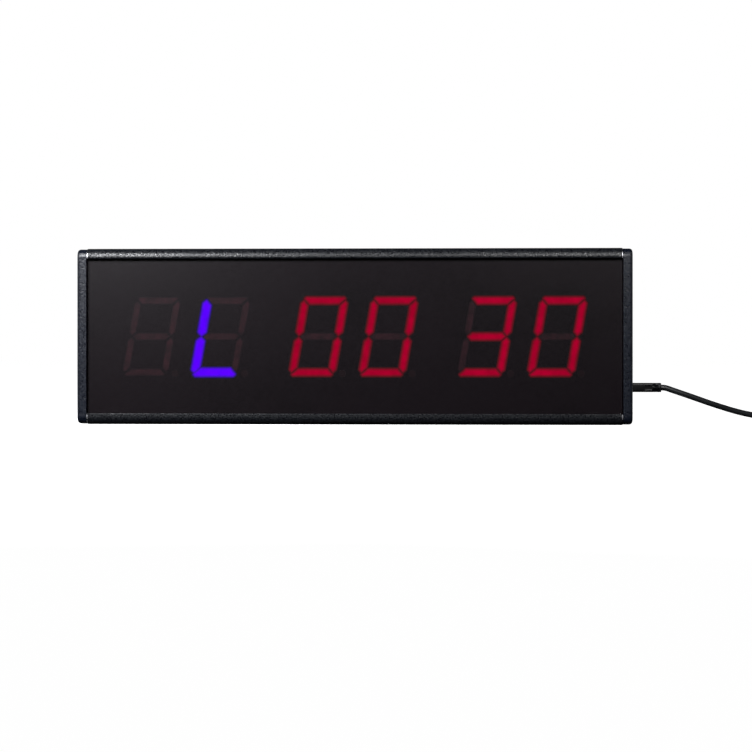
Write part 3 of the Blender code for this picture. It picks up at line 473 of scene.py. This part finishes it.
def lit(name, colour, strength, share):
    """A share of a lit segment's light, uneven as the chips behind the resin are, over a dark grey."""
    grey = GLOW_GREY * (1 - share)
    finish = new_finish(name, (grey, grey, grey), 0.42, specular=0.0)
    shader = shader_of(finish)
    shader.inputs["Emission Color"].default_value = (*colour, 1)
    patches = grain(finish, 160, 2)
    power = strength * share
    low, high = (1 - GLOW_UNEVEN) * power, (1 + GLOW_UNEVEN) * power
    drive(finish, "Emission Strength", value_between(finish, patches, low, high))
    return finish


def unlit_resin(name, dark, light):
    finish = new_finish(name, light, 0.42, specular=0.28)
    patches = grain(finish, 190, 3)
    drive(finish, "Base Color", colour_between(finish, patches, dark, light))
    bump(finish, patches, 0.00002)
    return finish


def moulded(name, colour, roughness=0.42, texture=0.00003, specular=0.5):
    """Moulded plastic with a fine spark-eroded texture."""
    finish = new_finish(name, colour, roughness, specular=specular)
    fine = grain(finish, 2200, 2)
    broad = grain(finish, 60, 2)
    dark = tuple(0.8 * c for c in colour)
    light = tuple(1.25 * c for c in colour)
    drive(finish, "Base Color", colour_between(finish, broad, dark, light))
    drive(finish, "Roughness", value_between(finish, broad, roughness - 0.05, roughness + 0.08))
    bump(finish, fine, texture)
    return finish


def plated(name, colour, roughness):
    """Plated metal with fine rubbing marks."""
    finish = new_finish(name, colour, roughness, 1.0)
    marks = grain(finish, 900, 3, (0.15, 1, 1))
    dark = tuple(0.85 * c for c in colour)
    drive(finish, "Base Color", colour_between(finish, marks, dark, colour))
    drive(finish, "Roughness", value_between(finish, marks, roughness - 0.06, roughness + 0.1))
    return finish


def laminate():
    """Black solder resist over the weave of the glass laminate."""
    dark, light = (0.008, 0.011, 0.009), (0.016, 0.021, 0.017)
    finish = new_finish("black_laminate", light, 0.42)
    weave = [grain(finish, 900, 1, stretch) for stretch in ((1, 1, 0.12), (0.12, 1, 1))]
    cloth = reckon(finish, "ADD", *weave)
    drive(finish, "Base Color", colour_between(finish, cloth, dark, light, 0.7, 1.3))
    bump(finish, cloth, 0.00002)
    return finish


def strap_weave():
    """Hook and loop strap: a pile of short loops."""
    dark, light = (0.008, 0.008, 0.009), (0.034, 0.034, 0.037)
    finish = new_finish("strap_loops", light, 0.85, specular=0.3)
    loops = grain(finish, 2600, 4)
    rows = grain(finish, 700, 1, (1, 1, 0.2))
    drive(finish, "Base Color", colour_between(finish, loops, dark, light))
    bump(finish, reckon(finish, "ADD", loops, rows), 0.00025)
    return finish


def make_finishes():
    glows = {
        f"{hue}_{level}": lit(f"lit_{hue}_{level}", colour, strength, share)
        for hue, colour, strength in (("red", RED, RED_STRENGTH), ("blue", BLUE, BLUE_STRENGTH))
        for level, share in enumerate(GLOW_SHARES[hue])
    }
    return {
        **glows,
        "coat": powder_coat("rail_powder_coat", *RAIL_BLACKS, 0.37, 0.17, 0.00018),
        "cap_coat": powder_coat("cap_powder_coat", *CAP_BLACKS, 0.34, 0.07, 0.00013),
        "worn": worn_edge(),
        "acrylic": smoked_acrylic(),
        "film": mask_film(),
        "unlit": unlit_resin("unlit_segment_resin", (0.014, 0.005, 0.008), (0.032, 0.009, 0.014)),
        # painted shade: a darker resin for the rims of the unlit segments
        "unlit_rim_shade": unlit_resin("unlit_rim_painted_shade", (0.008, 0.0035, 0.006), (0.018, 0.006, 0.010)),
        "unlit_point": unlit_resin("unlit_point_resin", (0.009, 0.003, 0.005), (0.013, 0.005, 0.008)),
        "back": moulded("back_sheet", (0.022, 0.022, 0.024), 0.55, 0.00005),
        "plastic": moulded("black_plastic", (0.018, 0.018, 0.020)),
        "chip": moulded("chip_epoxy", (0.025, 0.025, 0.026), 0.5),
        "white": moulded("white_nylon", (0.70, 0.69, 0.65), 0.45),
        "sleeve": moulded("capacitor_sleeve", (0.020, 0.025, 0.060), 0.3, 0.00001),
        "sheath": moulded("cord_sheath", (0.007, 0.008, 0.009), 0.38, 0.00002, 0.4),
        "grip": moulded("grip_moulding", (0.003, 0.003, 0.004), 0.38, 0.00003, 0.25),
        "red_wire": moulded("red_insulation", (0.42, 0.02, 0.02), 0.4, 0.00001),
        "black_wire": moulded("black_insulation", (0.02, 0.02, 0.02), 0.4, 0.00001),
        "laminate": laminate(),
        "strap": strap_weave(),
        "can": plated("crystal_can", (0.55, 0.55, 0.56), 0.3),
        "zinc": plated("black_zinc", (0.10, 0.10, 0.105), 0.35),
        "nickel": plated("nickel_plate", (0.66, 0.64, 0.60), 0.25),
    }


NODE_FINISHES = {
    "cap_coat": ("left_end_cap", "right_end_cap"),
    "zinc": [f"{side}_cap_screw_{number}" for side in ("left", "right") for number in (1, 2, 3, 4)],
    "acrylic": ("front_panel",),
    "film": ("mask_sheet",),
    "back": ("back_panel",),
    "plastic": (
        *(f"digit_{number}_housing" for number in LIT_SEGMENTS),
        "buzzer",
        "infrared_receiver",
        "dc_jack",
    ),
    "laminate": ("display_board",),
    "chip": ("controller_chip", "driver_chip_1", "driver_chip_2", "voltage_regulator"),
    "can": ("crystal",),
    "sleeve": ("smoothing_capacitor",),
    "white": ("power_header", "power_connector"),
    "red_wire": ("red_wire",),
    "black_wire": ("black_wire",),
    "nickel": ("jack_nut", "plug_barrel"),
}


def finish_nodes(finishes):
    """Gives each CAD node that stays its material."""
    for key, names in NODE_FINISHES.items():
        for name in names:
            for slot in nodes[name].material_slots:
                slot.link = "OBJECT"
                slot.material = finishes[key]


# Rails


def skin_depth(point):
    """How deep a point lies under the rails' outer skin."""
    radius = FRONT_RADIUS if point.y < 0 else REAR_RADIUS
    over_y = abs(point.y) - (CASE_HALF_DEPTH - radius)
    over_z = abs(point.z - CASE_MIDDLE.z) - (CASE_HALF_HEIGHT - radius)
    out = math.hypot(max(over_y, 0), max(over_z, 0)) + min(max(over_y, over_z), 0)
    return radius - out


def is_worn(node, face, end_x):
    """True for a face of a rail's front at its end, where the coat is rubbed off."""
    middle = face.center
    in_front = middle.y < FRONT_RADIUS - CASE_HALF_DEPTH and face.normal.y < -0.3
    places = WORN_PLACES[(node, 1 if middle.x > 0 else -1)]
    at_place = any(low < middle.z < high for low, high in places)
    return abs(middle.x) > end_x - WORN_WIDTH and in_front and at_place


def is_lower_lip(edge):
    """True for the edge where the bottom rail's front lip turns in towards the panel."""
    place = edge_middle(edge)
    in_front = place.y < SKIN - CASE_HALF_DEPTH and place.z < CASE_MIDDLE.z
    return in_front and along(edge, 0) and edge.calc_face_angle(0) > SHARP


def make_rail(node, finishes):
    """A rail with its end edges chamfered, and the coat worn off in front at the ends."""
    piece = merged_copy(node, f"{node}_finished")
    end_x = max(vertex.co.x for vertex in piece.data.vertices)
    give(piece, finishes["coat"], finishes["worn"])
    open_mesh(piece)
    choose(
        "EDGE",
        lambda edge: all(abs(v.co.x) > end_x - SKIN and skin_depth(v.co) < SKIN for v in edge.verts),
    )
    bpy.ops.mesh.bevel(offset=RAIL_CHAMFER, segments=1, affect="EDGES")
    lip_z = LIP_ENDS[node]
    choose("VERT", lambda vertex: abs(vertex.co.z - lip_z) < SKIN and vertex.co.y < LIP_BACK_Y)
    bpy.ops.transform.translate(value=(0, 0, LIP_MOVES[node]))
    choose("EDGE", is_lower_lip)
    bpy.ops.mesh.bevel(offset=LIP_EDGE, segments=4, affect="EDGES")
    cut_across([WORN_WIDTH - end_x, end_x - WORN_WIDTH], 0)
    cut_across([z for side in (-1, 1) for place in WORN_PLACES[(node, side)] for z in place], 2)
    close_mesh()
    for face in piece.data.polygons:
        face.material_index = int(is_worn(node, face, end_x))
    smooth(piece)
    ready(piece, "timer", "powder_coat", node)


# Digits


def nearest_segment(point, middle):
    """The segment whose middle is nearest to a point on the digit's face."""
    up = point.z - middle.z
    across = point.x - middle.x - up * math.tan(DIGIT_SLANT)
    return min(
        SEGMENT_PLACES,
        key=lambda name: math.hypot(across - SEGMENT_PLACES[name][0], up - SEGMENT_PLACES[name][1]),
    )


def face_point(face):
    return face.calc_center_bounds()


def assign(number):
    """Gives the chosen faces that one of the open piece's finishes."""
    bpy.context.object.active_material_index = number
    bpy.ops.object.material_slot_assign()


def make_digit(number, finishes):
    """A digit's light guide, raised to the mask sheet's face. Its unlit segments get a darker rim, painted
    shade at their edges.
    """
    node = f"digit_{number}_light_guide"
    low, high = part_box(f"digit_{number}_housing")
    middle = (low + high) / 2
    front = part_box(node)[0].y
    piece = merged_copy(node, f"digit_{number}_segments")
    give(piece, finishes["unlit"], finishes["unlit_rim_shade"], finishes["unlit_point"])
    open_mesh(piece)
    choose("FACE", lambda face: face.normal.y < -FACING and face_point(face).y < front + SKIN)
    bpy.ops.mesh.inset(thickness=SEGMENT_DRAFT, depth=SEGMENT_RISE, use_individual=True)
    # the raised faces' rims get the darker resin, painted shade at the segments' edges; their middles go
    # back to the plain resin
    choose("FACE", lambda face: face_point(face).y < front - SEGMENT_RISE + SKIN)
    assign(1)
    bpy.ops.mesh.inset(thickness=UNLIT_SHADED_RIM, use_individual=True)
    assign(0)
    choose(
        "FACE",
        lambda face: face_point(face).y < front and nearest_segment(face_point(face), middle) == "point",
    )
    assign(2)
    close_mesh()
    smooth(piece)
    ready(piece, "timer", "segment_resin", node)
    return middle, front


def glow_level(number, level, spread, middle, front):
    """One level of a digit's glow: a plate for each lit segment, wider or narrower by the spread."""
    piece = merged_copy(f"digit_{number}_light_guide", f"digit_{number}_glow_{level}")
    open_mesh(piece)
    choose(
        "FACE",
        lambda face: not (
            face.normal.y < -FACING
            and face_point(face).y < front + SKIN
            and nearest_segment(face_point(face), middle) in LIT_SEGMENTS[number]
        ),
    )
    bpy.ops.mesh.delete(type="FACE")
    choose_all()
    bpy.ops.mesh.extrude_region_move(TRANSFORM_OT_translate={"value": (0, -GLOW_BLOCK, 0)})
    choose_all()
    bpy.ops.mesh.normals_make_consistent(inside=False)
    if spread > 0:
        choose("EDGE", lambda edge: along(edge, 1))
        bpy.ops.mesh.bevel(offset=GLOW_CORNER, segments=1, affect="EDGES")
        choose_all()
    bpy.ops.transform.shrink_fatten(value=spread, use_even_offset=True)
    scale_chosen((1, GLOW_PLATE / (GLOW_BLOCK + 2 * spread), 1), (0, front - GLOW_BLOCK / 2, 0))
    forward = SEGMENT_RISE + GLOW_STEP * (level + 1)
    bpy.ops.transform.translate(value=(0, GLOW_BLOCK / 2 - forward, 0))
    close_mesh()
    return piece


def make_glow(number, middle, front, finishes):
    """A digit's lit segments as their light shows: thin plates, smaller and brighter to the front."""
    hue = "blue" if number == BLUE_DIGIT else "red"
    pieces = []
    for level, spread in enumerate(GLOW_SPREADS[hue]):
        piece = glow_level(number, level, spread, middle, front)
        give(piece, finishes[f"{hue}_{level}"])
        pieces.append(piece)
    pick_only(pieces[0])
    for piece in pieces:
        piece.select_set(True)
    bpy.ops.object.join()
    pieces[0].name = f"digit_{number}_glow"
    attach(pieces[0], "timer")


# Power lead


def coil_at(turn):
    """The centreline's radius and height after so many turns, with the rise over the tie."""
    run_turns = (COIL_TURNS - COIL_CLIMB * (COIL_LAYERS - 1)) / COIL_LAYERS
    inner = COIL_RADIUS - COIL_PITCH * run_turns / 2
    outer = COIL_RADIUS + COIL_PITCH * run_turns / 2
    layer = min(int(turn / (run_turns + COIL_CLIMB)), COIL_LAYERS - 1)
    into = turn - layer * (run_turns + COIL_CLIMB)
    run = min(into, run_turns)
    climbed = max(0.0, into - run_turns) / COIL_CLIMB
    swell = COIL_BULGE * math.sin(math.pi * climbed)
    radius = outer - COIL_PITCH * run - swell if layer % 2 == 0 else inner + COIL_PITCH * run + swell
    height = COIL_FLOOR + COIL_PITCH * (layer + climbed * climbed * (3 - 2 * climbed))
    from_tie = abs((math.pi / 2 - 2 * math.pi * turn) % (2 * math.pi) - math.pi)
    if from_tie < TIE_LIFT_SPREAD:
        height += TIE_LIFT * math.cos(from_tie / TIE_LIFT_SPREAD * math.pi / 2) ** 2
    return radius, height


def eased(share):
    """A share from 0 to 1, made to start and end gently."""
    return (1 - math.cos(math.pi * min(max(share, 0.0), 1.0))) / 2


def cord_points():
    """The whole centreline: down to the floor, round the coil, and into the adapter's strain relief."""
    begin, end = LEAD_ROUTE[1][0], LEAD_ROUTE[-1][0]
    backs = [SOCKET_Y + COIL_BACK * eased((x - begin) / (end - begin)) for x, z in LEAD_ROUTE]
    points = [Vector((x, y, z)) for (x, z), y in zip(LEAD_ROUTE, backs)]
    coil_y = SOCKET_Y + COIL_BACK - coil_at(0)[0]
    for step in range(COIL_TURNS * COIL_STEPS + 1):
        turn = step / COIL_STEPS
        radius, height = coil_at(turn)
        angle = math.pi / 2 - 2 * math.pi * turn
        points.append(Vector((COIL_X + radius * math.cos(angle), coil_y + radius * math.sin(angle), height)))
    (start_x, start_z), (end_x, end_z) = TAIL_ENDS
    for i in range(TAIL_POINTS + 1):
        share = i / TAIL_POINTS
        y = SOCKET_Y + COIL_BACK * (1 - eased(share))
        z = start_z + (end_z - start_z) * eased(2 * share - 1)
        points.append(Vector((start_x + (end_x - start_x) * share, y, z)))
    return [*points, Vector((CORD_TIP_X, SOCKET_Y, end_z))]


def make_cord(finishes):
    """The cord as one smooth curve."""
    curve = bpy.data.curves.new("power_cord", "CURVE")
    curve.dimensions = "3D"
    curve.bevel_depth = CORD_DIAMETER / 2
    curve.bevel_resolution = 5
    curve.use_fill_caps = True
    curve.resolution_u = 4
    curve.materials.append(finishes["sheath"])
    points = cord_points()
    spline = curve.splines.new("BEZIER")
    spline.bezier_points.add(len(points) - 1)
    for knot, point in zip(spline.bezier_points, points):
        knot.co = point
        knot.handle_left_type = "AUTO"
        knot.handle_right_type = "AUTO"
    cord = bpy.data.objects.new("power_cord", curve)
    bpy.context.scene.collection.objects.link(cord)
    ready(cord, "power_lead", "cord_sheath", "lead", "lead_coil", "lead_tail")
    return cord, points[0]


def is_end_edge(edge, low_x, high_x):
    """True for an edge round either end of the grip."""
    at_end = all(v.co.x < low_x + SKIN or v.co.x > high_x - SKIN for v in edge.verts)
    return at_end and not along(edge, 0)


def make_grip(finishes):
    """The moulded grip: a bar with a sunk pad on each side, and a waist for the fingers behind it."""
    low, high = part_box("plug_grip")
    middle = (low + high) / 2
    low -= Vector((0, GRIP_FULLER, GRIP_FULLER))
    high += Vector((-GRIP_SHORTER, GRIP_FULLER, GRIP_FULLER))
    piece = block("plug_grip_moulded", low, high)
    open_mesh(piece)
    choose("EDGE", lambda edge: along(edge, 0))
    bpy.ops.mesh.bevel(offset=GRIP_CORNER, segments=5, affect="EDGES")
    cut_across([*GRIP_PAD, *GRIP_SCOOP, GRIP_SCOOP_END], 0)
    cut_across([middle.z - GRIP_CREST, middle.z + GRIP_CREST], 2)
    for x, width in GRIP_SCOOP.items():
        choose(
            "VERT",
            lambda vertex: abs(vertex.co.x - x) < SKIN and abs(vertex.co.z - middle.z) > 2 * GRIP_CREST,
        )
        scale_chosen((1, width, 1), (x, middle.y, middle.z))
    choose(
        "FACE",
        lambda face: abs(face.normal.y) > SQUARE and GRIP_PAD[0] < face.calc_center_median().x < GRIP_PAD[1],
    )
    bpy.ops.mesh.inset(thickness=GRIP_PAD_DRAFT, use_even_offset=True)
    bpy.ops.transform.shrink_fatten(value=-GRIP_PAD_DEPTH)
    choose("EDGE", lambda edge: is_end_edge(edge, low.x, high.x))
    bpy.ops.mesh.bevel(offset=GRIP_EDGE, segments=3, affect="EDGES")
    close_mesh()
    give(piece, finishes["grip"])
    smooth(piece, 35)
    ready(piece, "power_lead", "cord_sheath", "plug_grip")
    return piece


def make_relief(finishes):
    """The adapter's strain relief: a taper with grooves round it."""
    low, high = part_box("adapter_strain_relief")
    middle = (low + high) / 2
    length = high.x - low.x
    bpy.ops.object.select_all(action="DESELECT")
    bpy.ops.mesh.primitive_cone_add(
        vertices=RELIEF_SIDES,
        radius1=RELIEF_RADII[0],
        radius2=RELIEF_RADII[1],
        depth=length,
        location=middle,
        rotation=(0, math.pi / 2, 0),
    )
    piece = bpy.context.object
    piece.name = "adapter_relief_ribbed"
    bpy.ops.object.transform_apply(location=True, rotation=True, scale=True)
    open_mesh(piece)
    pitch = length / (RELIEF_RINGS + 1)
    for ring in range(1, RELIEF_RINGS + 1):
        x = low.x + pitch * ring
        cut_across([x + share * pitch for share in RELIEF_CUTS], 0)
        choose("VERT", lambda vertex: abs(vertex.co.x - x) < RELIEF_CUTS[2] * pitch + SKIN)
        scale_chosen((1, RELIEF_GROOVE, RELIEF_GROOVE), (x, middle.y, middle.z))
    choose("EDGE", lambda edge: all(v.co.x < low.x + SKIN for v in edge.verts))
    bpy.ops.mesh.bevel(offset=RELIEF_EDGE, segments=3, affect="EDGES")
    close_mesh()
    give(piece, finishes["grip"])
    smooth(piece, 40)
    ready(piece, "power_lead", "cord_sheath", "adapter_strain_relief")
    return piece


def make_strap(finishes):
    """The hook and loop strap round the coil."""
    piece = merged_copy("lead_tie", "lead_tie_strap")
    open_mesh(piece)
    choose("EDGE", lambda edge: edge.calc_face_angle(0) > SHARP)
    bpy.ops.mesh.bevel(offset=TIE_EDGE, segments=2, affect="EDGES")
    close_mesh()
    give(piece, finishes["strap"])
    smooth(piece, 40)
    ready(piece, "power_lead", "strap", "lead_tie")
    return piece


def make_tongue(finishes):
    """The strap's loose end, pressed down over the band."""
    low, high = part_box("lead_tie")
    tongue = block(
        "lead_tie_end",
        (low.x + TONGUE_ROOM[0], low.y - TONGUE_OVER, high.z - TONGUE_OVER),
        (high.x - TONGUE_ROOM[1], high.y + TONGUE_OVER, high.z + TONGUE_RISE),
    )
    open_mesh(tongue)
    choose("EDGE", lambda edge: along(edge, 2) and edge_middle(edge).x > low.x + TONGUE_ROOM[0] + SKIN)
    bpy.ops.mesh.bevel(offset=TONGUE_CORNER, segments=5, affect="EDGES")
    choose("EDGE", lambda edge: all(v.co.z > high.z for v in edge.verts))
    bpy.ops.mesh.bevel(offset=TIE_EDGE, segments=2, affect="EDGES")
    close_mesh()
    give(tongue, finishes["strap"])
    smooth(tongue, 40)
    ready(tongue, "power_lead", "strap")
    return tongue


def rounded_shell(name, low, high, outer_z):
    """Half of the adapter's case: its upright corners round, and the edge round its closed face."""
    piece = block(name, low, high)
    open_mesh(piece)
    choose("EDGE", lambda edge: along(edge, 2))
    bpy.ops.mesh.bevel(offset=ADAPTER_CORNER, segments=8, affect="EDGES")
    choose("EDGE", lambda edge: all(abs(v.co.z - outer_z) < SKIN for v in edge.verts))
    bpy.ops.mesh.bevel(offset=ADAPTER_EDGE, segments=5, affect="EDGES")
    return piece


def make_base(finishes):
    """The adapter's base, with ribbed sides."""
    low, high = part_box("adapter_base")
    base = rounded_shell("adapter_base_shell", low, high, low.z)
    rib_low, rib_high = low.z + RIB_ENDS[0], high.z - RIB_ENDS[1]
    first_rib = (low.x + high.x) / 2 - RIB_PITCH * RIB_COUNT / 2
    ribs = [first_rib + RIB_PITCH * i for i in range(RIB_COUNT)]
    cut_across([rib_low, rib_high], 2)
    for place in ribs:
        cut_across([place, place + RIB_WIDTH], 0)
    choose(
        "FACE",
        lambda face: abs(face.normal.y) > SQUARE
        and rib_low < face.calc_center_median().z < rib_high
        and any(place < face.calc_center_median().x < place + RIB_WIDTH for place in ribs),
    )
    bpy.ops.mesh.inset(thickness=RIB_DRAFT, use_individual=True)
    bpy.ops.transform.shrink_fatten(value=-RIB_DEPTH)
    close_mesh()
    give(base, finishes["plastic"])
    smooth(base, 35)
    ready(base, "power_lead", "black_plastic", "adapter_base")
    return base


def make_lid(finishes):
    """The adapter's lid, with a sunk blank field."""
    low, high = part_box("adapter_lid")
    lid = rounded_shell("adapter_lid_shell", low, high, high.z)
    choose("FACE", lambda face: face.normal.z > SQUARE and face.calc_center_median().z > high.z - SKIN)
    bpy.ops.mesh.inset(thickness=LID_BORDER, use_even_offset=True)
    bpy.ops.mesh.inset(thickness=LID_FIELD_DRAFT, depth=-LID_FIELD_DEPTH, use_even_offset=True)
    close_mesh()
    give(lid, finishes["plastic"])
    smooth(lid, 35)
    ready(lid, "power_lead", "black_plastic", "adapter_lid")
    return lid


def make_blade(number, finishes):
    """A mains blade with the hole near its tip."""
    low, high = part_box(f"adapter_blade_{number}")
    middle = (low + high) / 2
    blade = block(f"adapter_blade_{number}_formed", low, high)
    open_mesh(blade)
    choose("EDGE", lambda edge: along(edge, 1) and edge_middle(edge).z > middle.z)
    bpy.ops.mesh.bevel(offset=BLADE_TIP, segments=4, affect="EDGES")
    close_mesh()
    bpy.ops.object.select_all(action="DESELECT")
    bpy.ops.mesh.primitive_cylinder_add(
        vertices=24,
        radius=BLADE_HOLE,
        depth=BLADE_CUT,
        location=(middle.x, middle.y, high.z - BLADE_HOLE_DOWN),
        rotation=(math.pi / 2, 0, 0),
    )
    cutter = bpy.context.object
    pick_only(blade)
    modifier = blade.modifiers.new("hole", "BOOLEAN")
    modifier.operation = "DIFFERENCE"
    modifier.object = cutter
    bpy.ops.object.modifier_apply(modifier="hole")
    bpy.data.objects.remove(cutter, do_unlink=True)
    open_mesh(blade)
    choose("EDGE", lambda edge: edge.calc_face_angle(0) > SHARP)
    bpy.ops.mesh.bevel(offset=BLADE_EDGE, segments=2, affect="EDGES")
    close_mesh()
    give(blade, finishes["nickel"])
    smooth(blade, 40)
    ready(blade, "power_lead", "nickel", f"adapter_blade_{number}")
    return blade


def make_lead(finishes):
    cord, exit_point = make_cord(finishes)
    grip = make_grip(finishes)
    fittings = [make(finishes) for make in (make_relief, make_strap, make_tongue, make_base, make_lid)]
    blades = [make_blade(number, finishes) for number in (1, 2)]


# Studio


def make_camera():
    camera = bpy.data.objects.new("camera", bpy.data.cameras.new("camera"))
    bpy.context.scene.collection.objects.link(camera)
    out = Vector((math.sin(CAMERA_TURN), -math.cos(CAMERA_TURN), 0))
    camera.location = CASE_MIDDLE + out * CAMERA_DISTANCE
    camera.rotation_euler = (math.pi / 2, 0, CAMERA_TURN)
    camera.data.lens = CAMERA_LENS
    camera.data.shift_x = 0.5 - CASE_MIDDLE_PIXEL[0] / PHOTO_SIDE
    camera.data.shift_y = CASE_MIDDLE_PIXEL[1] / PHOTO_SIDE - 0.5
    camera.data.clip_end = CAMERA_REACH
    bpy.context.scene.camera = camera


def soft_light(name, place, aim, size, power, colour):
    """A soft box at a place, turned to the point that it aims at."""
    lamp = bpy.data.lights.new(name, "AREA")
    lamp.shape = "RECTANGLE"
    lamp.size, lamp.size_y = size
    lamp.energy = power
    lamp.color = colour
    box = bpy.data.objects.new(name, lamp)
    bpy.context.scene.collection.objects.link(box)
    box.location = place
    box.rotation_euler = (Vector(place) - Vector(aim)).to_track_quat("Z", "Y").to_euler()


def make_world():
    """White to the camera. Gloss sees a white wall behind and beside the case, and a dim room in front."""
    world = bpy.data.worlds.new("studio")
    bpy.context.scene.world = world
    world.use_nodes = True
    tree = world.node_tree
    light_path = tree.nodes.new("ShaderNodeLightPath")
    direction = tree.nodes.new("ShaderNodeTexCoord")
    split = tree.nodes.new("ShaderNodeSeparateXYZ")
    tree.links.new(direction.outputs["Generated"], split.inputs["Vector"])
    behind = value_between(world, split.outputs["Y"], 0.0, 1.0, *WALL_BEHIND_Y)
    low_down = value_between(world, split.outputs["Z"], 1.0, 0.0, *WALL_TOP_Z)
    wall = reckon(world, "MULTIPLY", behind, low_down)
    dimmer = value_between(world, split.outputs["X"], 1.0, WALL_DIMMED, *WALL_DIMS_X)
    right = value_between(world, split.outputs["X"], 0.0, WALL_RIGHT, *WALL_RIGHT_X)
    sides = reckon(world, "MAXIMUM", dimmer, right)
    gloss = reckon(world, "MAXIMUM", reckon(world, "MULTIPLY", wall, sides), ROOM_GLOSS)
    kinds = (light_path.outputs[f"Is {kind} Ray"] for kind in ("Glossy", "Transmission"))
    bounced = reckon(world, "MAXIMUM", *kinds)
    plain = reckon(world, "MULTIPLY", reckon(world, "SUBTRACT", 1.0, bounced), ROOM_LIGHT)
    indirect = reckon(world, "ADD", plain, reckon(world, "MULTIPLY", bounced, gloss))
    strength = reckon(world, "MAXIMUM", light_path.outputs["Is Camera Ray"], indirect)
    tree.links.new(strength, tree.nodes["Background"].inputs["Strength"])
    tree.nodes["Background"].inputs["Color"].default_value = (1, 1, 1, 1)


def make_floor():
    """A pale floor that the camera sees as white with a faint shadow, and that throws little light up."""
    bpy.ops.object.select_all(action="DESELECT")
    bpy.ops.mesh.primitive_plane_add(size=FLOOR_SIDE)
    floor = bpy.context.object
    floor.name = "floor"
    unseen, pale = (0.01, 0.01, 0.01), (0.8, 0.8, 0.8)
    finish = new_finish("pale_floor", pale, 0.7, specular=0.0)
    tree = finish.node_tree
    seen = tree.nodes.new("ShaderNodeLightPath").outputs["Is Camera Ray"]
    drive(finish, "Base Color", colour_between(finish, seen, unseen, pale, 0.0, 1.0))
    shader_of(finish).inputs["Emission Color"].default_value = (1, 1, 1, 1)
    drive(finish, "Emission Strength", reckon(finish, "MULTIPLY", seen, FLOOR_GLOW))
    give(floor, finish)


def make_studio():
    make_camera()
    make_world()
    make_floor()
    soft_light("key", **KEY_LIGHT)
    soft_light("fill", **FILL_LIGHT)
    bpy.context.scene.view_settings.view_transform = "Standard"


def main():
    make_studio()
    finishes = make_finishes()
    make_lead(finishes)
    finish_nodes(finishes)
    for node in ("top_rail", "bottom_rail"):
        make_rail(node, finishes)
    digits = {number: make_digit(number, finishes) for number in LIT_SEGMENTS}
    for number, (middle, front) in digits.items():
        if LIT_SEGMENTS[number]:
            make_glow(number, middle, front, finishes)


main()
